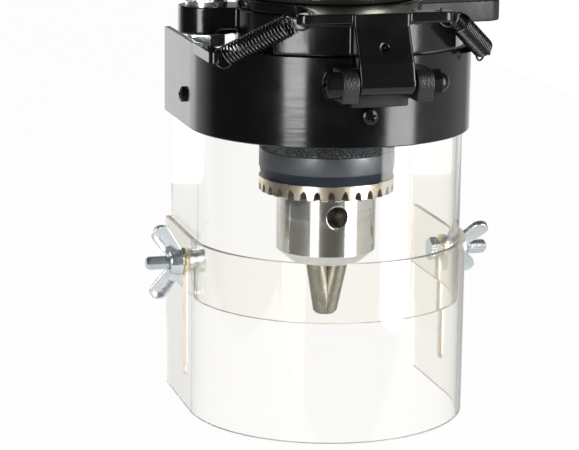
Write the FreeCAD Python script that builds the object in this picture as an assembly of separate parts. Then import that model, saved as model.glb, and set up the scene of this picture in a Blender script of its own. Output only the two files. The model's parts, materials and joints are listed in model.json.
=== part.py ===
import FreeCAD, Part
import os
from math import acos, ceil, cos, pi, radians, sin, sqrt, tan

# Spindle nose of a drill press: quill, spindle and keyed chuck, with a hinged clear chuck guard.
# Millimetres. +Z runs up the spindle axis, the guard's front is -Y, and z = 0 is the upper face
# of the quill's flange, where the quill leaves the head.

V = FreeCAD.Vector
UP = V(0, 0, 1)
RIGHT = V(1, 0, 0)
BACK = V(0, 1, 0)

# Clearances
FIT = 0.05            # running fit, on the radius
SEAT = 0.02           # pressed or clamped seat, on the radius
AIR = 0.4             # parts that pass each other

# Quill
QUILL_R = 30.0
QUILL_LENGTH = 87.0
FLANGE_R = 34.0
FLANGE_H = 9.0
FLANGE_EDGE = 2.2
FLANGE_GROOVE = 0.8
NECK_R = 26.0
NECK_PROUD = 1.6
RACK_PITCH = 4.7
RACK_DEPTH = 3.2
RACK_WIDTH = 12.0
RACK_MARGIN = 6.0

# Bearings: bore radius, outer radius, width, ball radius, balls
LOWER_BEARING_R = 10.0
LOWER_BEARING_OUT_R = 21.0
LOWER_BEARING_W = 12.0
UPPER_BEARING_R = 8.5
UPPER_BEARING_OUT_R = 17.5
UPPER_BEARING_W = 10.0
RING_SHARE = 0.29     # part of a bearing's section that each ring takes
BALLS = 9
CAGE_THICK = 0.38     # cage's half thickness and half height, as parts of the ball's radius
CAGE_TALL = 1.3
COVER_T = 2.5
LOCK_NUT_R = 13.5
LOCK_NUT_H = 7.0
LOCK_SLOTS = 4
LOCK_SLOT_W = 4.0
BEARING_INSET = 2.0

# Spindle
SPINDLE_REACH = 37.9  # quill flange's lower face to the chuck's back face
SPINDLE_HUB_R = 13.0
SPINDLE_HUB_GAP = 3.0
TAPER_R = 7.85
TAPER_LENGTH = 23.6
TAPER_SLOPE = 0.025   # radius lost per millimetre of taper
SPLINE_LENGTH = 46.0
SPLINE_DEPTH = 1.6
SPLINE_W = 4.0
SPLINES = 6

# Quill collar and depth stop
COLLAR_WALL = 10.0
COLLAR_T = 8.4
SKIRT_H = 14.0        # hub below the collar's arms
PINCH_SLIT = 3.0
PINCH_LUG_W = 8.0
PINCH_LUG_REACH = 14.0
PINCH_SCREW_R = 3.0
ARM_W = 15.0
EYE_R = 11.0
EYE_H = 10.7
EYE_Y = 12.5
ARM_END_X = 67.0
ARM_END_Y = 12.5
ARM_END_R = 7.0
ROD_R = 4.0
ROD_LENGTH = 118.0
ROD_NUT_FLATS = 13.0
ROD_NUT_H = 5.0
ROD_WASHER_R = 8.2
ROD_WASHER_T = 1.6
ROD_TAIL = 1.5
ROD_NUT_ROOM = 0.5    # nut's flat to the guard ring's inside
ROD_NUT_SPINS = (30.0, 40.0)  # degrees, lower and upper nut

# Guard ring
RING_R = 55.0
RING_WALL = 2.5
RING_H = 33.7
RING_EDGE = 0.5
GUARD_BACK = 44.0     # how far the side flats run behind the spindle axis
TAB_T = 3.8
TAB_Y = -30.8
TAB_R = 2.5
TAB_ROOT_Y = -6.0
RING_SCREW_R = 1.75
RING_SCREW_HEAD_R = 3.0
RING_SCREW_HEAD_H = 2.2
RING_SCREW_RISE = 12.0  # above the ring's lower edge
RING_SCREW_SIDE_Y = 8.6
RING_NUT_FLATS = 6.0
RING_NUT_H = 2.4
RING_SCREW_SPIN = 20.0  # degrees

# Guard bracket
PLATE_T = 4.0
PLATE_HALF = 20.0
APRON_H = 11.8
APRON_LEFT = 38.0     # degrees either side of the front
APRON_RIGHT = 44.0
BAR_X = 2.0           # middle of the spring bar
BAR_HALF = 26.2       # to the centres of its round ends
BAR_END_R = 3.6
BAR_INSET = 2.0       # bar's middle behind the ring's front
BAR_HOLE_INSET = 2.0  # hook holes inside the centres of the round ends
NOSE_W = 21.2
NOSE_PROUD = 1.2      # nose in front of the bar
NOSE_CREASE_STAND = 2.0  # crease of the nose in front of the hinge pin
NOSE_CREASE_RISE = 7.2   # and above it
NOSE_STAND = 4.3      # tail's back face in front of the ring
NOSE_DIMPLE_R = 1.3   # drilled in the nose's leaning face
NOSE_DIMPLE_DROP = 8.0  # below the bar
NOSE_DIMPLE_DEEP = 3.0
BRACKET_SCREW_R = 2.0
BRACKET_SCREW_HEAD_R = 3.5
BRACKET_SCREW_HEAD_H = 4.0
BRACKET_SCREW_ANGLE = 35.0

# Hinge
HINGE_X = 3.2
PIN_R = 2.5
PIN_DROP = 8.6        # below the ring's top edge
PIN_STAND = 7.8       # in front of the ring
BARREL_WALL = 1.6
EAR_T = 6.1
EAR_R = 5.1
EAR_DROP = 6.5        # ears' lower face below the pin
EAR_FOOT = 0.55       # ears' lower front edge in front of the pin, as a part of EAR_R
EAR_GAP = 0.5         # each side of the nose
CLEVIS_DROP = 9.5     # base plate's lower edge below the pin
CLEVIS_PLATE_T = 2.8
CLEVIS_SCREW_R = 2.0
CLEVIS_SCREW_HEAD_R = 3.4
CLEVIS_SCREW_HEAD_H = 2.4
CLEVIS_SCREW_HALF = 7.5
PIN_HEAD_R = 4.8
PIN_HEAD_H = 2.8
BUSH_R = 4.8
BUSH_LENGTH = 3.4
DOME_FLATS = 8.8
DOME_HEX_H = 3.2
DOME_R = 3.7

# Springs
WIRE_R = 0.4
COIL_R = 3.7
SPRING_TURNS = 19
COIL_SHIFT = 2.2      # coil's axis at least this far outside the line between the hooks
COIL_START = 5.0      # first curl from the bar hook's centre
HOOK_LEAD = 1.0
HOOK_TURN = 210       # degrees
HOOK_HOLE_R = 1.2
BAR_HOOK_R = 3.9
BAR_HOOK_START = 130  # degrees, counted from the bar's end
BAR_HOOK_STEPS = 4

# Clear shields
SHIELD_WALL = 2.0
SHIELD_GAP = 0.2      # ring to upper shield
SLIDE_GAP = 0.35      # upper shield to lower shield
SHIELD_LAP = 16.0
UPPER_DROP = 66.7
LOWER_H = 69.4
BOLT_RISE = 12.4      # clamp bolts above the upper shield's lower edge
BOLT_Y = 9.5
BOLT_R = 2.5
SLOT_AIR = 0.25
SLOT_MARGIN = 8.15
BOLT_HEAD_FLATS = 8.0
BOLT_HEAD_H = 3.5
BOLT_STICKOUT = 15.4  # beyond the lower shield
CLAMP_WASHER_R = 5.5
CLAMP_WASHER_T = 1.0
WING_HUB_R = 5.5
WING_HUB_TOP_R = 4.5
WING_HUB_H = 5.0
WING_T = 2.2
WING_SPAN = 31.0
WING_TIP_R = 3.8
WING_ROOT_R = 3.2
WING_FLARE = 8.6      # height of the wing tip's centre above the bearing face
WING_LEAN_LEFT = 10.0  # degrees that the upper wing leans forward at rest
WING_LEAN_RIGHT = 40.0

# Chuck
SLEEVE_R = 26.5
SLEEVE_WALL = 3.3
SLEEVE_LENGTH = 30.0
SLEEVE_CHAMFER = 1.2
BACK_LIP = 2.0
GEAR_H = 5.8
GEAR_TEETH = 31
GEAR_TOOTH_H = 3.3
GEAR_LIP = 2.2
GEAR_PHASE = 2.2      # degrees
NOSE_R = 19.4
NOSE_H = 23.2
NOSE_CONE_H = 4.5
NOSE_FACE_R = 14.0
NOSE_BORE_R = 6.5
KEY_R = 4.0
KEY_CHAMFER = 0.5
KEY_DROP = 13.5       # below the sleeve's lower edge
KEY_DEPTH = 7.9
KEY_ANGLE = -3.0      # first key hole from the front, degrees
NUT_H = 7.4
NUT_SPLIT = 0.3
JAWS = 3
JAW_R = 4.0
JAW_SLANT = 12.0
JAW_TIP_A = 0.5       # jaw axis to chuck axis at the tip
JAW_REACH = 21.9
JAW_TIP_R = 3.7
JAW_FACE_GAP = 0.08
JAW_SKIN = 0.6        # body left outside a jaw's bore at its upper end

# Levels
FLANGE_Z = -FLANGE_H
PLATE_Z = FLANGE_Z - PLATE_T
COLLAR_Z = PLATE_Z - COLLAR_T
SKIRT_Z = COLLAR_Z - SKIRT_H
EYE_Z = PLATE_Z - EYE_H
NECK_Z = COLLAR_Z - NECK_PROUD
APRON_Z = PLATE_Z - APRON_H
RING_TOP = APRON_Z - AIR
RING_BOTTOM = RING_TOP - RING_H
RING_SCREW_Z = RING_BOTTOM + RING_SCREW_RISE
PIN_Z = RING_TOP - PIN_DROP
PIN_Y = -(RING_R + PIN_STAND)
UPPER_TOP = RING_BOTTOM + SHIELD_LAP
UPPER_BOTTOM = RING_BOTTOM - UPPER_DROP
BOLT_Z = UPPER_BOTTOM + BOLT_RISE
SLOT_R = BOLT_R + SLOT_AIR
LOWER_TOP = BOLT_Z + SLOT_R + SLOT_MARGIN
LOWER_BOTTOM = LOWER_TOP - LOWER_H
LOWER_TRAVEL = RING_BOTTOM - LOWER_TOP - AIR
CHUCK_BACK = FLANGE_Z - SPINDLE_REACH
SLEEVE_TOP = CHUCK_BACK - BACK_LIP
GEAR_Z = SLEEVE_TOP - SLEEVE_LENGTH
GEAR_BOTTOM = GEAR_Z - GEAR_H
NOSE_EDGE = GEAR_BOTTOM - NOSE_H
NOSE_FACE = NOSE_EDGE - NOSE_CONE_H
JAW_TIP = NOSE_FACE - JAW_REACH

# Radii that follow from others
RING_IN = RING_R - RING_WALL
UPPER_OUT = RING_IN - SHIELD_GAP
LOWER_OUT = UPPER_OUT + SLIDE_GAP + SHIELD_WALL
COLLAR_R = NECK_R + COLLAR_WALL
EYE_X = -(RING_IN - ROD_NUT_ROOM - ROD_NUT_FLATS / 2)
BARREL_R = PIN_R + FIT + BARREL_WALL
SLEEVE_IN = SLEEVE_R - SLEEVE_WALL
BODY_R = SLEEVE_IN - FIT
TAB_X = RING_R - TAB_R
TAB_Z = RING_TOP - TAB_T / 2
BAR_Y = -(RING_R - BAR_INSET)
BAR_Z = FLANGE_Z - PLATE_T / 2
BAR_HOLE_HALF = BAR_HALF - BAR_HOLE_INSET
SLANT = tan(radians(JAW_SLANT))


def jaw_offset(z):
    """Distance of a jaw's axis from the chuck axis at height z."""
    return JAW_TIP_A + (z - JAW_TIP) * SLANT


def jaw_height(offset):
    return JAW_TIP + (offset - JAW_TIP_A) / SLANT


JAW_EDGE = JAW_R / cos(radians(JAW_SLANT))
NUT_BOTTOM = GEAR_BOTTOM + GEAR_LIP + SEAT
NUT_TOP = NUT_BOTTOM + NUT_H
NUT_MIDDLE = (NUT_BOTTOM + NUT_TOP) / 2
NUT_GROOVE_R = jaw_offset(NUT_MIDDLE) + JAW_EDGE - 0.9
JAW_TOP = NUT_TOP - NUT_H / 3
JAW_BORE_TOP = jaw_height(BODY_R - JAW_SKIN - JAW_EDGE)
JAW_TRAVEL = JAW_BORE_TOP - JAW_EDGE * SLANT - AIR - JAW_TOP


def ring(outer, inner, z0, z1):
    return Part.makeCylinder(outer, z1 - z0, V(0, 0, z0)).cut(Part.makeCylinder(inner, z1 - z0, V(0, 0, z0)))


def revolved(points):
    """Solid of revolution about Z from an outline of (radius, height) points."""
    outline = Part.makePolygon([V(r, 0, z) for r, z in points + points[:1]])
    return Part.Face(outline).revolve(V(0, 0, 0), UP, 360)


def prism_x(points, x0, x1):
    """Outline of (y, z) points, drawn along X."""
    outline = Part.makePolygon([V(x0, y, z) for y, z in points + points[:1]])
    return Part.Face(outline).extrude(V(x1 - x0, 0, 0))


def link(p, q, rp, rq, height):
    """Flat link between two round ends, drawn along Z."""
    run = q - p
    length = run.Length
    run.normalize()
    side = UP.cross(run)
    turn = acos((rp - rq) / length)
    along, across = run * cos(turn), side * sin(turn)
    p1, p2 = p + (along + across) * rp, p + (along - across) * rp
    q1, q2 = q + (along + across) * rq, q + (along - across) * rq
    edges = [
        Part.LineSegment(p1, q1),
        Part.Arc(q1, q + run * rq, q2),
        Part.LineSegment(q2, p2),
        Part.Arc(p2, p - run * rp, p1),
    ]
    return Part.Face(Part.Wire([e.toShape() for e in edges])).extrude(UP * height)


def hexagon(flats, height):
    r = flats / sqrt(3)
    corners = [V(r * cos(radians(60 * i)), r * sin(radians(60 * i)), 0) for i in range(7)]
    return Part.Face(Part.makePolygon(corners)).extrude(UP * height)


def placed(shape, point, direction, spin=0):
    """Shape drawn along +Z from the origin, set at a point and turned to a direction."""
    turn = FreeCAD.Rotation(UP, direction).multiply(FreeCAD.Rotation(UP, spin))
    moved = shape.copy()
    moved.Placement = FreeCAD.Placement(point, turn)
    return moved


def around(angle, radius, z=0):
    """Point at an angle from the front, counted towards +X."""
    return V(radius * sin(radians(angle)), -radius * cos(radians(angle)), z)


def edges_on(shape, z):
    return [e for e in shape.Edges if all(abs(v.Z - z) < 1e-6 for v in e.Vertexes)]


def u_wall(outer, wall, z0, z1):
    """Half-round front wall with flat sides that run back."""
    inner = outer - wall
    rim = [V(-outer, GUARD_BACK, z0), V(-outer, 0, z0), V(outer, 0, z0), V(outer, GUARD_BACK, z0)]
    lining = [V(inner, GUARD_BACK, z0), V(inner, 0, z0), V(-inner, 0, z0), V(-inner, GUARD_BACK, z0)]
    edges = [
        Part.LineSegment(rim[0], rim[1]),
        Part.Arc(rim[1], V(0, -outer, z0), rim[2]),
        Part.LineSegment(rim[2], rim[3]),
        Part.LineSegment(rim[3], lining[0]),
        Part.LineSegment(lining[0], lining[1]),
        Part.Arc(lining[1], V(0, -inner, z0), lining[2]),
        Part.LineSegment(lining[2], lining[3]),
        Part.LineSegment(lining[3], rim[0]),
    ]
    return Part.Face(Part.Wire([e.toShape() for e in edges])).extrude(UP * (z1 - z0))


def pan_screw(radius, length, head_r, head_h):
    """Cross-recess pan head screw: head above z = 0, shank below."""
    edge = head_h * 0.45
    head = revolved([(0, 0), (head_r, 0), (head_r, head_h - edge), (head_r - edge, head_h), (0, head_h)])
    shank = Part.makeCylinder(radius, length, V(0, 0, -length))
    arm, slot, deep = head_r * 1.1, head_r * 0.26, head_h * 0.5
    recess = Part.makeBox(arm, slot, deep, V(-arm / 2, -slot / 2, head_h - deep))
    return head.fuse(shank).cut(recess).cut(placed(recess, V(0, 0, 0), UP, 90)).removeSplitter()


def cap_screw(radius, length, head_r, head_h):
    """Socket cap screw: head above z = 0, shank below."""
    head = Part.makeCylinder(head_r, head_h)
    head = head.makeChamfer(head_h * 0.1, edges_on(head, head_h)[:1])
    socket = hexagon(head_r, head_h * 0.6)
    socket.translate(V(0, 0, head_h * 0.4))
    return head.cut(socket).fuse(Part.makeCylinder(radius, length, V(0, 0, -length)))


def hex_nut(flats, height, bore):
    nut = hexagon(flats, height)
    corner = flats / sqrt(3)
    chamfer = (corner - flats / 2) * 0.6
    turned = [(0, 0), (corner - chamfer, 0), (corner, chamfer), (corner, height - chamfer)]
    turned += [(corner - chamfer, height), (0, height)]
    return nut.common(revolved(turned)).cut(Part.makeCylinder(bore, height))


def save(name, *solids):
    shape = solids[0] if len(solids) == 1 else Part.makeCompound(list(solids))
    shape.exportStep("parts/" + name + ".step")
    print(name, len(shape.Solids), round(shape.Volume, 1), "" if shape.isValid() else "NOT VALID")


# Quill, bearings and spindle

LOWER_BEARING_Z = NECK_Z + COVER_T + SEAT
LOWER_BEARING_TOP = LOWER_BEARING_Z + LOWER_BEARING_W
UPPER_BEARING_TOP = QUILL_LENGTH - BEARING_INSET
UPPER_BEARING_Z = UPPER_BEARING_TOP - UPPER_BEARING_W
QUILL_WAIST_R = UPPER_BEARING_OUT_R - UPPER_BEARING_OUT_R * 0.15


def quill_sleeve():
    low, high = LOWER_BEARING_OUT_R + SEAT, UPPER_BEARING_OUT_R + SEAT
    edge, groove = FLANGE_EDGE, FLANGE_GROOVE
    middle = FLANGE_Z + FLANGE_H / 2
    body = revolved([
        (low, NECK_Z), (NECK_R, NECK_Z), (NECK_R, FLANGE_Z), (FLANGE_R - edge, FLANGE_Z),
        (FLANGE_R - edge * 0.3, FLANGE_Z + edge * 0.3), (FLANGE_R, FLANGE_Z + edge),
        (FLANGE_R, middle - groove), (FLANGE_R - groove, middle), (FLANGE_R, middle + groove),
        (FLANGE_R, -edge), (FLANGE_R - edge, 0), (QUILL_R, 0), (QUILL_R, QUILL_LENGTH - edge),
        (QUILL_R - edge, QUILL_LENGTH), (high, QUILL_LENGTH), (high, UPPER_BEARING_Z - SEAT),
        (QUILL_WAIST_R, UPPER_BEARING_Z - SEAT), (QUILL_WAIST_R, LOWER_BEARING_TOP + SEAT),
        (low, LOWER_BEARING_TOP + SEAT),
    ])
    teeth = int((QUILL_LENGTH - 2 * RACK_MARGIN) / RACK_PITCH)
    gaps = []
    for i in range(teeth):
        z = RACK_MARGIN + (i + 0.5) * RACK_PITCH
        root, mouth = RACK_PITCH * 0.14, RACK_PITCH * 0.38
        inner, outer = QUILL_R - RACK_DEPTH, QUILL_R + RACK_DEPTH * 0.2
        outline = [(inner, z - root), (outer, z - mouth), (outer, z + mouth), (inner, z + root)]
        gaps.append(prism_x(outline, -RACK_WIDTH / 2, RACK_WIDTH / 2))
    return body.cut(Part.makeCompound(gaps))


def bearing(inner, outer, z, width):
    """Outer ring, inner ring, balls and cage of a ball bearing that starts at height z."""
    section = outer - inner
    pitch = (inner + outer) / 2
    ball = section * RING_SHARE
    track = Part.makeTorus(pitch, ball + FIT, V(0, 0, z + width / 2))
    wall = section * RING_SHARE
    rim = ring(outer, outer - wall, z, z + width).cut(track)
    hub = ring(inner + wall, inner + SEAT, z, z + width).cut(track)
    places = [around(360 * i / BALLS, pitch, z + width / 2) for i in range(BALLS)]
    balls = [Part.makeSphere(ball, place) for place in places]
    thick, tall = ball * CAGE_THICK, ball * CAGE_TALL
    cage = ring(pitch + thick, pitch - thick, z + width / 2 - tall, z + width / 2 + tall)
    pockets = []
    for i in range(BALLS):
        outward = around(360 * i / BALLS, 1)
        pockets.append(Part.makeCylinder(ball + FIT, 4 * thick, places[i] - outward * 2 * thick, outward))
    cage = cage.cut(pockets)
    return rim, hub, balls, cage


def bearing_cover():
    cover = ring(LOWER_BEARING_OUT_R, SPINDLE_HUB_R + AIR, NECK_Z, NECK_Z + COVER_T)
    return cover


def spindle():
    tip = CHUCK_BACK - TAPER_LENGTH
    hub_bottom = CHUCK_BACK + SPINDLE_HUB_GAP
    taper_top = TAPER_R + SPINDLE_HUB_GAP * TAPER_SLOPE
    taper_tip = TAPER_R - TAPER_LENGTH * TAPER_SLOPE
    top = QUILL_LENGTH + LOCK_NUT_H + SPLINE_LENGTH
    spline_r = UPPER_BEARING_R - SEAT
    edge = SPLINE_DEPTH * 0.7
    body = revolved([
        (0, tip), (taper_tip, tip), (taper_top, hub_bottom), (SPINDLE_HUB_R, hub_bottom),
        (SPINDLE_HUB_R, LOWER_BEARING_Z), (LOWER_BEARING_R, LOWER_BEARING_Z),
        (LOWER_BEARING_R, UPPER_BEARING_Z), (UPPER_BEARING_R, UPPER_BEARING_Z),
        (spline_r, UPPER_BEARING_TOP), (spline_r, top - edge), (spline_r - edge, top), (0, top),
    ])
    start = UPPER_BEARING_TOP + LOCK_NUT_H + BEARING_INSET
    slot = Part.makeBox(SPLINE_W, SPLINE_DEPTH * 2, top - start, V(-SPLINE_W / 2, SPLINE_DEPTH - spline_r, 0))
    slot.translate(V(0, -SPLINE_DEPTH * 2, start))
    slots = [placed(slot, V(0, 0, 0), UP, 360 * i / SPLINES) for i in range(SPLINES)]
    return body.cut(Part.makeCompound(slots))


def lock_nut():
    z = UPPER_BEARING_TOP
    nut = ring(LOCK_NUT_R, UPPER_BEARING_R + SEAT, z, z + LOCK_NUT_H)
    depth = LOCK_NUT_R * 0.15
    slot = Part.makeBox(LOCK_SLOT_W, depth * 2, LOCK_NUT_H, V(-LOCK_SLOT_W / 2, -LOCK_NUT_R - depth, z))
    return nut.cut(Part.makeCompound([placed(slot, V(0, 0, 0), UP, 360 * i / LOCK_SLOTS) for i in range(LOCK_SLOTS)]))


# Quill collar and depth stop

PINCH_Y = COLLAR_R + PINCH_LUG_REACH / 2
EYE = V(EYE_X, EYE_Y, EYE_Z)
ARM_END = V(ARM_END_X, ARM_END_Y, COLLAR_Z)


def quill_collar():
    tall = COLLAR_T + SKIRT_H
    body = Part.makeCylinder(COLLAR_R, tall, V(0, 0, SKIRT_Z))
    half = PINCH_SLIT / 2 + PINCH_LUG_W
    lugs = Part.makeBox(2 * half, COLLAR_R + PINCH_LUG_REACH, COLLAR_T, V(-half, 0, COLLAR_Z))
    left = link(V(-NECK_R, EYE_Y * 0.6, COLLAR_Z), V(EYE_X, EYE_Y, COLLAR_Z), ARM_W / 2, EYE_R, COLLAR_T)
    eye = Part.makeCylinder(EYE_R, EYE_H, EYE)
    right = link(V(NECK_R, EYE_Y * 0.6, COLLAR_Z), ARM_END, ARM_W / 2, ARM_END_R, COLLAR_T)
    body = body.fuse([lugs, left, right, eye]).removeSplitter()
    slit = Part.makeBox(PINCH_SLIT, COLLAR_R + PINCH_LUG_REACH, tall, V(-PINCH_SLIT / 2, 0, SKIRT_Z))
    bore = Part.makeCylinder(NECK_R + SEAT, tall, V(0, 0, SKIRT_Z))
    rod = Part.makeCylinder(ROD_R + SEAT, EYE_H, EYE)
    pinch = Part.makeCylinder(PINCH_SCREW_R + SEAT, 2 * half, V(-half, PINCH_Y, COLLAR_Z + COLLAR_T / 2), RIGHT)
    sinks = [Part.makeCylinder(BRACKET_SCREW_HEAD_R + AIR, SKIRT_H, p + UP * SKIRT_Z) for p in bracket_screw_places()]
    nut_room = Part.makeCylinder(ROD_NUT_FLATS / sqrt(3) + AIR, tall, V(EYE_X, EYE_Y, EYE_Z - tall))
    return body.cut([slit, bore, rod, pinch, nut_room] + sinks + bracket_screw_holes(COLLAR_Z, PLATE_Z))


def pinch_screw():
    half = PINCH_SLIT / 2 + PINCH_LUG_W
    screw = cap_screw(PINCH_SCREW_R, 2 * half, PINCH_SCREW_R * 1.6, PINCH_SCREW_R * 2)
    return placed(screw, V(half, PINCH_Y, COLLAR_Z + COLLAR_T / 2), RIGHT)


def depth_rod():
    edge = ROD_R * 0.25
    low = EYE_Z - ROD_NUT_H - ROD_TAIL
    rod = revolved([
        (0, low), (ROD_R - edge, low), (ROD_R, low + edge), (ROD_R, low + ROD_LENGTH - edge),
        (ROD_R - edge, low + ROD_LENGTH), (0, low + ROD_LENGTH),
    ])
    rod.translate(V(EYE_X, EYE_Y, 0))
    return rod


def depth_rod_nuts():
    nut = hex_nut(ROD_NUT_FLATS, ROD_NUT_H, ROD_R + SEAT)
    lower = placed(nut, V(EYE_X, EYE_Y, EYE_Z - ROD_NUT_H), UP, ROD_NUT_SPINS[0])
    upper = placed(nut, V(EYE_X, EYE_Y, PLATE_Z + ROD_WASHER_T), UP, ROD_NUT_SPINS[1])
    return [lower, upper]


def depth_rod_washer():
    washer = ring(ROD_WASHER_R, ROD_R + SEAT, PLATE_Z, PLATE_Z + ROD_WASHER_T)
    washer.translate(V(EYE_X, EYE_Y, 0))
    return washer


# Guard bracket, fixed under the quill flange

BRACKET_SCREW_PCR = (NECK_R + COLLAR_R) / 2


def bracket_screw_places():
    return [around(a, BRACKET_SCREW_PCR) for a in (-BRACKET_SCREW_ANGLE, BRACKET_SCREW_ANGLE)]


def bracket_screw_holes(z0, z1):
    holes = []
    for place in bracket_screw_places():
        holes.append(Part.makeCylinder(BRACKET_SCREW_R + SEAT, z1 - z0, place + UP * z0))
    return holes


def bracket_screws():
    length = COLLAR_T + PLATE_T * 0.8
    screw = cap_screw(BRACKET_SCREW_R, length, BRACKET_SCREW_HEAD_R, BRACKET_SCREW_HEAD_H)
    return [placed(screw, place + UP * COLLAR_Z, V(0, 0, -1)) for place in bracket_screw_places()]


def nose():
    """Solid nose that comes down in front of the apron to the hinge barrel."""
    front = BAR_Y - BAR_END_R - NOSE_PROUD
    crease = PIN_Y - NOSE_CREASE_STAND
    tail_back = -(RING_R + NOSE_STAND)
    outline = [
        (front, FLANGE_Z), (front, PLATE_Z), (crease, PIN_Z + NOSE_CREASE_RISE),
        (PIN_Y - BARREL_R, PIN_Z), (tail_back, PIN_Z), (tail_back, APRON_Z), (-RING_IN, APRON_Z),
        (-RING_IN, FLANGE_Z),
    ]
    left, right = HINGE_X - NOSE_W / 2, HINGE_X + NOSE_W / 2
    barrel = Part.makeCylinder(BARREL_R, NOSE_W, V(left, PIN_Y, PIN_Z), RIGHT)
    face = front + (crease - front) * NOSE_DIMPLE_DROP / (PLATE_Z - PIN_Z - NOSE_CREASE_RISE)
    start = V(HINGE_X, face + NOSE_DIMPLE_DEEP, PLATE_Z - NOSE_DIMPLE_DROP)
    dimple = Part.makeCylinder(NOSE_DIMPLE_R, 3 * NOSE_DIMPLE_DEEP, start, V(0, -1, 0))
    return prism_x(outline, left, right).fuse(barrel).cut(dimple)


def guard_bracket():
    left, right = V(BAR_X - BAR_HALF, BAR_Y, PLATE_Z), V(BAR_X + BAR_HALF, BAR_Y, PLATE_Z)
    bar = link(left, right, BAR_END_R, BAR_END_R, PLATE_T)
    web = Part.makeBox(2 * PLATE_HALF, -BAR_Y, PLATE_T, V(-PLATE_HALF, BAR_Y, PLATE_Z))
    disc = Part.makeCylinder(COLLAR_R, PLATE_T, V(0, 0, PLATE_Z))
    apron = Part.makeCylinder(RING_R, APRON_H + PLATE_T * 0.5, V(0, 0, APRON_Z), UP, APRON_LEFT + APRON_RIGHT)
    apron.rotate(V(0, 0, 0), UP, -90 - APRON_LEFT)
    hollow = Part.makeCylinder(RING_IN, APRON_H + PLATE_T * 0.5, V(0, 0, APRON_Z))
    body = bar.fuse([web, disc, apron.cut(hollow), nose()]).removeSplitter()
    holes = [
        Part.makeCylinder(NECK_R + SEAT, PLATE_T, V(0, 0, PLATE_Z)),
        Part.makeCylinder(ROD_WASHER_R + AIR, PLATE_T, V(EYE_X, EYE_Y, PLATE_Z)),
        Part.makeCylinder(PIN_R + FIT, NOSE_W, V(HINGE_X - NOSE_W / 2, PIN_Y, PIN_Z), RIGHT),
    ]
    for x in (BAR_X - BAR_HOLE_HALF, BAR_X + BAR_HOLE_HALF):
        holes.append(Part.makeCylinder(HOOK_HOLE_R, PLATE_T, V(x, BAR_Y, PLATE_Z)))
    return body.cut(holes + bracket_screw_holes(PLATE_Z, FLANGE_Z))


# Guard: ring, hinge clevis, upper shield and their fasteners

CLEVIS_HALF = NOSE_W / 2 + EAR_GAP + EAR_T
CLEVIS_SCREW_Z = PIN_Z + EAR_R * 0.35


def clevis_screw_places():
    return [HINGE_X - CLEVIS_SCREW_HALF, HINGE_X + CLEVIS_SCREW_HALF]


def ring_screw_places():
    """Point on the ring's outer face and the outward direction, for each ring screw."""
    return [
        (V(0, -RING_R, RING_SCREW_Z), V(0, -1, 0)),
        (V(-RING_R, RING_SCREW_SIDE_Y, RING_SCREW_Z), V(-1, 0, 0)),
        (V(RING_R, RING_SCREW_SIDE_Y, RING_SCREW_Z), V(1, 0, 0)),
    ]


def ring_screw_holes():
    depth = RING_WALL + SHIELD_GAP + SHIELD_WALL + RING_R * 0.1
    return [Part.makeCylinder(RING_SCREW_R + SEAT, depth, p - d * depth, d) for p, d in ring_screw_places()]


def guard_ring():
    body = u_wall(RING_R, RING_WALL, RING_BOTTOM, RING_TOP)
    body = body.makeFillet(min(RING_EDGE, RING_WALL * 0.4), edges_on(body, RING_TOP) + edges_on(body, RING_BOTTOM))
    keep_out = Part.makeCylinder(RING_IN, RING_H, V(0, 0, RING_BOTTOM))
    for side in (-1, 1):
        tip = V(side * TAB_X, TAB_Y, RING_TOP - TAB_T)
        root = V(side * (RING_R - TAB_R), TAB_ROOT_Y, RING_TOP - TAB_T)
        tab = link(root, tip, TAB_R, TAB_R, TAB_T).cut(keep_out)
        body = body.fuse(tab.cut(Part.makeCylinder(HOOK_HOLE_R, TAB_T, tip)))
    screws = []
    for x in clevis_screw_places():
        start = V(x, -RING_R * 1.2, CLEVIS_SCREW_Z)
        screws.append(Part.makeCylinder(CLEVIS_SCREW_R + SEAT, RING_R, start, BACK))
    return body.removeSplitter().cut(ring_screw_holes() + screws)


def hinge_clevis():
    left, right = HINGE_X - CLEVIS_HALF, HINGE_X + CLEVIS_HALF
    low, top = PIN_Z - CLEVIS_DROP, PIN_Z + EAR_R
    inside = CLEVIS_HALF - EAR_T
    body = Part.makeCylinder(RING_R + CLEVIS_PLATE_T, top - low, V(0, 0, low))
    body = body.common(Part.makeBox(2 * inside, RING_R * 2, top - low, V(HINGE_X - inside, -RING_R * 2, low)))
    side = [
        (PIN_Y - EAR_R, PIN_Z), (PIN_Y - EAR_R * EAR_FOOT, PIN_Z - EAR_DROP), (0, PIN_Z - EAR_DROP),
        (0, top), (PIN_Y, top),
    ]
    for x in (left, right - EAR_T):
        eye = Part.makeCylinder(EAR_R, EAR_T, V(x, PIN_Y, PIN_Z), RIGHT)
        body = body.fuse([prism_x(side, x, x + EAR_T), eye])
    body = body.cut([
        Part.makeCylinder(RING_R + SEAT, top - low, V(0, 0, low)),
        Part.makeCylinder(PIN_R + SEAT, 2 * CLEVIS_HALF, V(left, PIN_Y, PIN_Z), RIGHT),
    ])
    for x in clevis_screw_places():
        body = body.cut(Part.makeCylinder(CLEVIS_SCREW_R + SEAT, RING_R, V(x, -RING_R * 1.2, CLEVIS_SCREW_Z), BACK))
    return body.removeSplitter()


def clevis_screws():
    screws = []
    for x in clevis_screw_places():
        reach = abs(x) + CLEVIS_SCREW_HEAD_R
        seat = sqrt(RING_IN ** 2 - reach ** 2) - SEAT
        tip = sqrt((RING_R + CLEVIS_PLATE_T) ** 2 - reach ** 2)
        screw = pan_screw(CLEVIS_SCREW_R, tip - seat, CLEVIS_SCREW_HEAD_R, CLEVIS_SCREW_HEAD_H)
        screws.append(placed(screw, V(x, -seat, CLEVIS_SCREW_Z), BACK))
    return screws


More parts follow.
